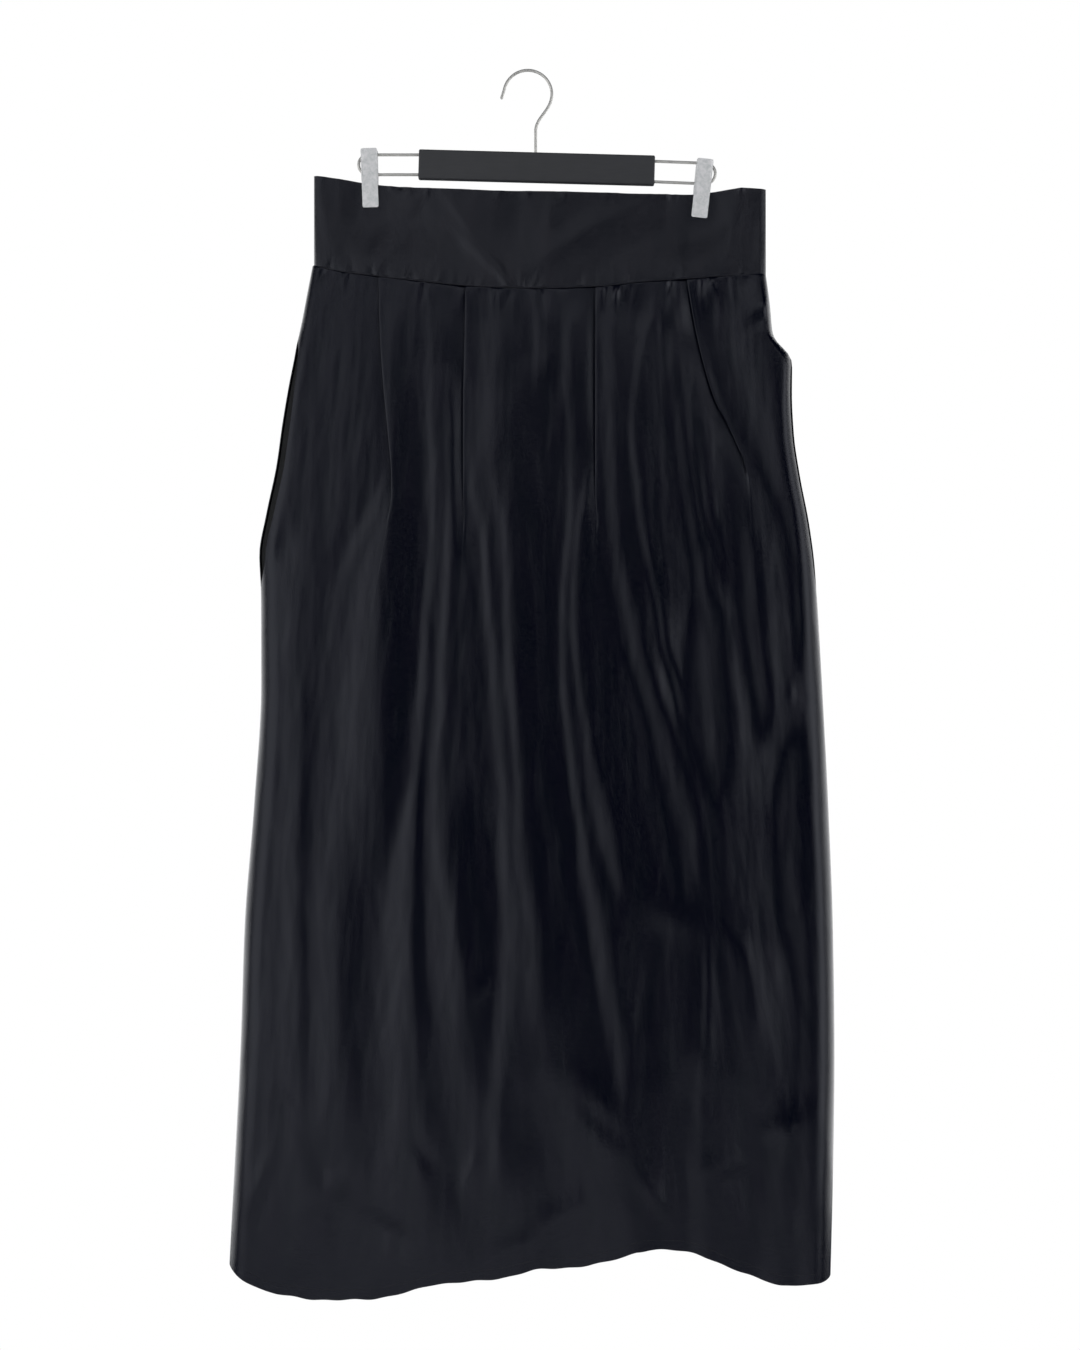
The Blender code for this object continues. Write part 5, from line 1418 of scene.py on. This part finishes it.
bag_cotton = woven_finish("pocket cotton", (0.0050, 0.0056, 0.0072), (0.0095, 0.0100, 0.0115),
                          (0.62, 0.75), slub_depth=0.00004, slack_depth=0.0004,
                          weave_depth=0.00006, thread_pitch=0.0006, slub_width=0.0009)
BAG_CUT_METRES = (0.160, 0.330)
back_start = FRAME_CLOTH / 2 + SEAM_GAP + BAG_ROOM
closed_y = BAG_PLANE - BAG_WALL_IN_FRAME - SEAM_GAP
share = np.linspace(0.0, 1.0, BAG_COLUMNS)
for side, inward in (("left", 1), ("right", -1)):
    top = read(WAIST, "x", "seam", OUTLINE[side][0])
    foot = read(FRONT_HEM, "x", "z", OUTLINE[side][-1])
    front_rows, back_rows = [], []
    for drop in np.linspace(BAG["drop"][0], BAG["drop"][-1], BAG_ROWS):
        reach = read(BAG, "drop", "reach", drop)
        opened = read(BAG, "drop", "open", drop)
        z = np.full(BAG_COLUMNS, top + (foot - top) * drop)
        edge = read(OUTLINE, "drop", side, drop)
        start = read(MOUTH, "drop", side, drop) + back_start
        front_x = edge + inward * (start + (reach - start) * share)
        panel_x, panel_y, _ = front_section(drop)
        beside = np.abs(panel_x - front_x[0]) < MOUTH_REACH
        mouth_y = np.interp(front_x[0], panel_x[beside], panel_y[beside]) + CLOTH
        stand = opened * (1 - share) ** BAG_CURVE
        front_y = closed_y + (np.minimum(mouth_y, closed_y) - closed_y) * stand
        back_x = edge + inward * (back_start + (reach - back_start) * share)
        front_rows.append((front_x, front_y, z))
        back_rows.append((back_x, np.full(BAG_COLUMNS, BAG_PLANE), z))
    for bag_name, rows in (("front_bag", front_rows), ("back_bag", back_rows)):
        if inward < 0:
            rows = [(x[::-1], y[::-1], z[::-1]) for x, y, z in rows]
        node = "pocket_" + side + "_" + bag_name
        bag = cloth_wall(node + "_cloth", rows, BAG_CLOTH, bag_cotton, *BAG_CUT_METRES)
        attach(bag, "skirt_on_hanger")
        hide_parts(node)
        panel = "skirt_front" if bag_name == "front_bag" else "skirt_back_" + side


# The concealed zip behind the centre-back seam: knitted tape with a nylon coil, and a small
# lacquered slider whose pull tab swings on a pin at the top of the waistband.
ZIP_WIDTH = 24.0
ZIP_CLOTH = 0.8
ZIP_WALL_IN_FRAME = 1.0
ZIP_TOP = 4.0
ZIP_BAND_END = 0.99
ZIP_SKIRT_DROPS = (0.01, 0.13)
ZIP_COLUMNS = 17
ZIP_BAND_ROWS = 40
ZIP_SKIRT_ROWS = 60
ZIP_COIL = {"Length": 1.0, "Across": 4.2, "Thickness": 1.3, "Pitch": 1.4, "Unevenness": 0.0}
COIL_STAND_OFF = 0.5


def back_inside(x, drop):
    """Inside face of the skirt's back beside the centre-back seam."""
    places, depths = [], []
    for side in ("left", "right"):
        section_x, section_y, _ = back_section(drop, side)
        near = np.abs(section_x - CENTRE_BACK) < 2 * ZIP_WIDTH
        places.append(section_x[near])
        depths.append(section_y[near])
    return np.interp(x, np.concatenate(places), np.concatenate(depths)) - FRAME_CLOTH / 2


zip_knit = woven_finish("zip tape", (0.004, 0.004, 0.005), (0.010, 0.010, 0.012), (0.6, 0.8),
                        slub_depth=0.00003, slack_depth=0.0001, weave_depth=0.00012,
                        thread_pitch=0.0009)
x = CENTRE_BACK + np.linspace(-ZIP_WIDTH / 2, ZIP_WIDTH / 2, ZIP_COLUMNS)
inset = SEAM_GAP + ZIP_WALL_IN_FRAME / 2
top_z = read(WAIST, "x", "top", CENTRE_BACK) - ZIP_TOP
seam_z = read(WAIST, "x", "seam", CENTRE_BACK)
hem_z = read(BACK_HEM, "x", "z", CENTRE_BACK)
zip_rows = []
for share in np.linspace(0.0, ZIP_BAND_END, ZIP_BAND_ROWS):
    y = band_depth(x, share) - BAND_CLOTH / 2 - inset
    zip_rows.append((x, y, np.full(len(x), top_z + (seam_z - top_z) * share)))
for drop in np.linspace(*ZIP_SKIRT_DROPS, ZIP_SKIRT_ROWS):
    zip_rows.append((x, back_inside(x, drop) - inset,
                     np.full(len(x), seam_z + (hem_z - seam_z) * drop)))
ZIP_CUT_METRES = (0.024, 0.202)
tapes = cloth_wall("zip_tape_cloth", zip_rows, ZIP_CLOTH, zip_knit, *ZIP_CUT_METRES)
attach(tapes, "skirt_on_hanger")
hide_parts("zip_tapes")

nylon, tree, shader = new_finish("black nylon", roughness=0.35)
speckle = add_node(tree, "ShaderNodeTexNoise", Vector=object_place(tree), Scale=900.0,
                   Detail=3.0).outputs["Fac"]
black_shades = ((0.006, 0.006, 0.007), (0.016, 0.016, 0.018))
vary(tree, shader, speckle, black_shades, speckle, (0.28, 0.42))
coil_line = [(CENTRE_BACK, y[ZIP_COLUMNS // 2] - ZIP_CLOTH / 2 - COIL_STAND_OFF, z[0])
             for _, y, z in zip_rows]
zip_coil = stitch("zip_coil", [coil_line], ZIP_COIL, 1, nylon)
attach(zip_coil, "skirt_on_hanger")

lacquer, tree, shader = new_finish("black lacquer", roughness=0.3, Metallic=0.4)
patches, scratches = wear_on(tree, 500.0, 2500.0)
vary(tree, shader, patches, black_shades, scratches, (0.24, 0.42))
for node in ("zip_slider", "zip_tab"):
    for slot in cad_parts[node].material_slots:
        slot.material = lacquer
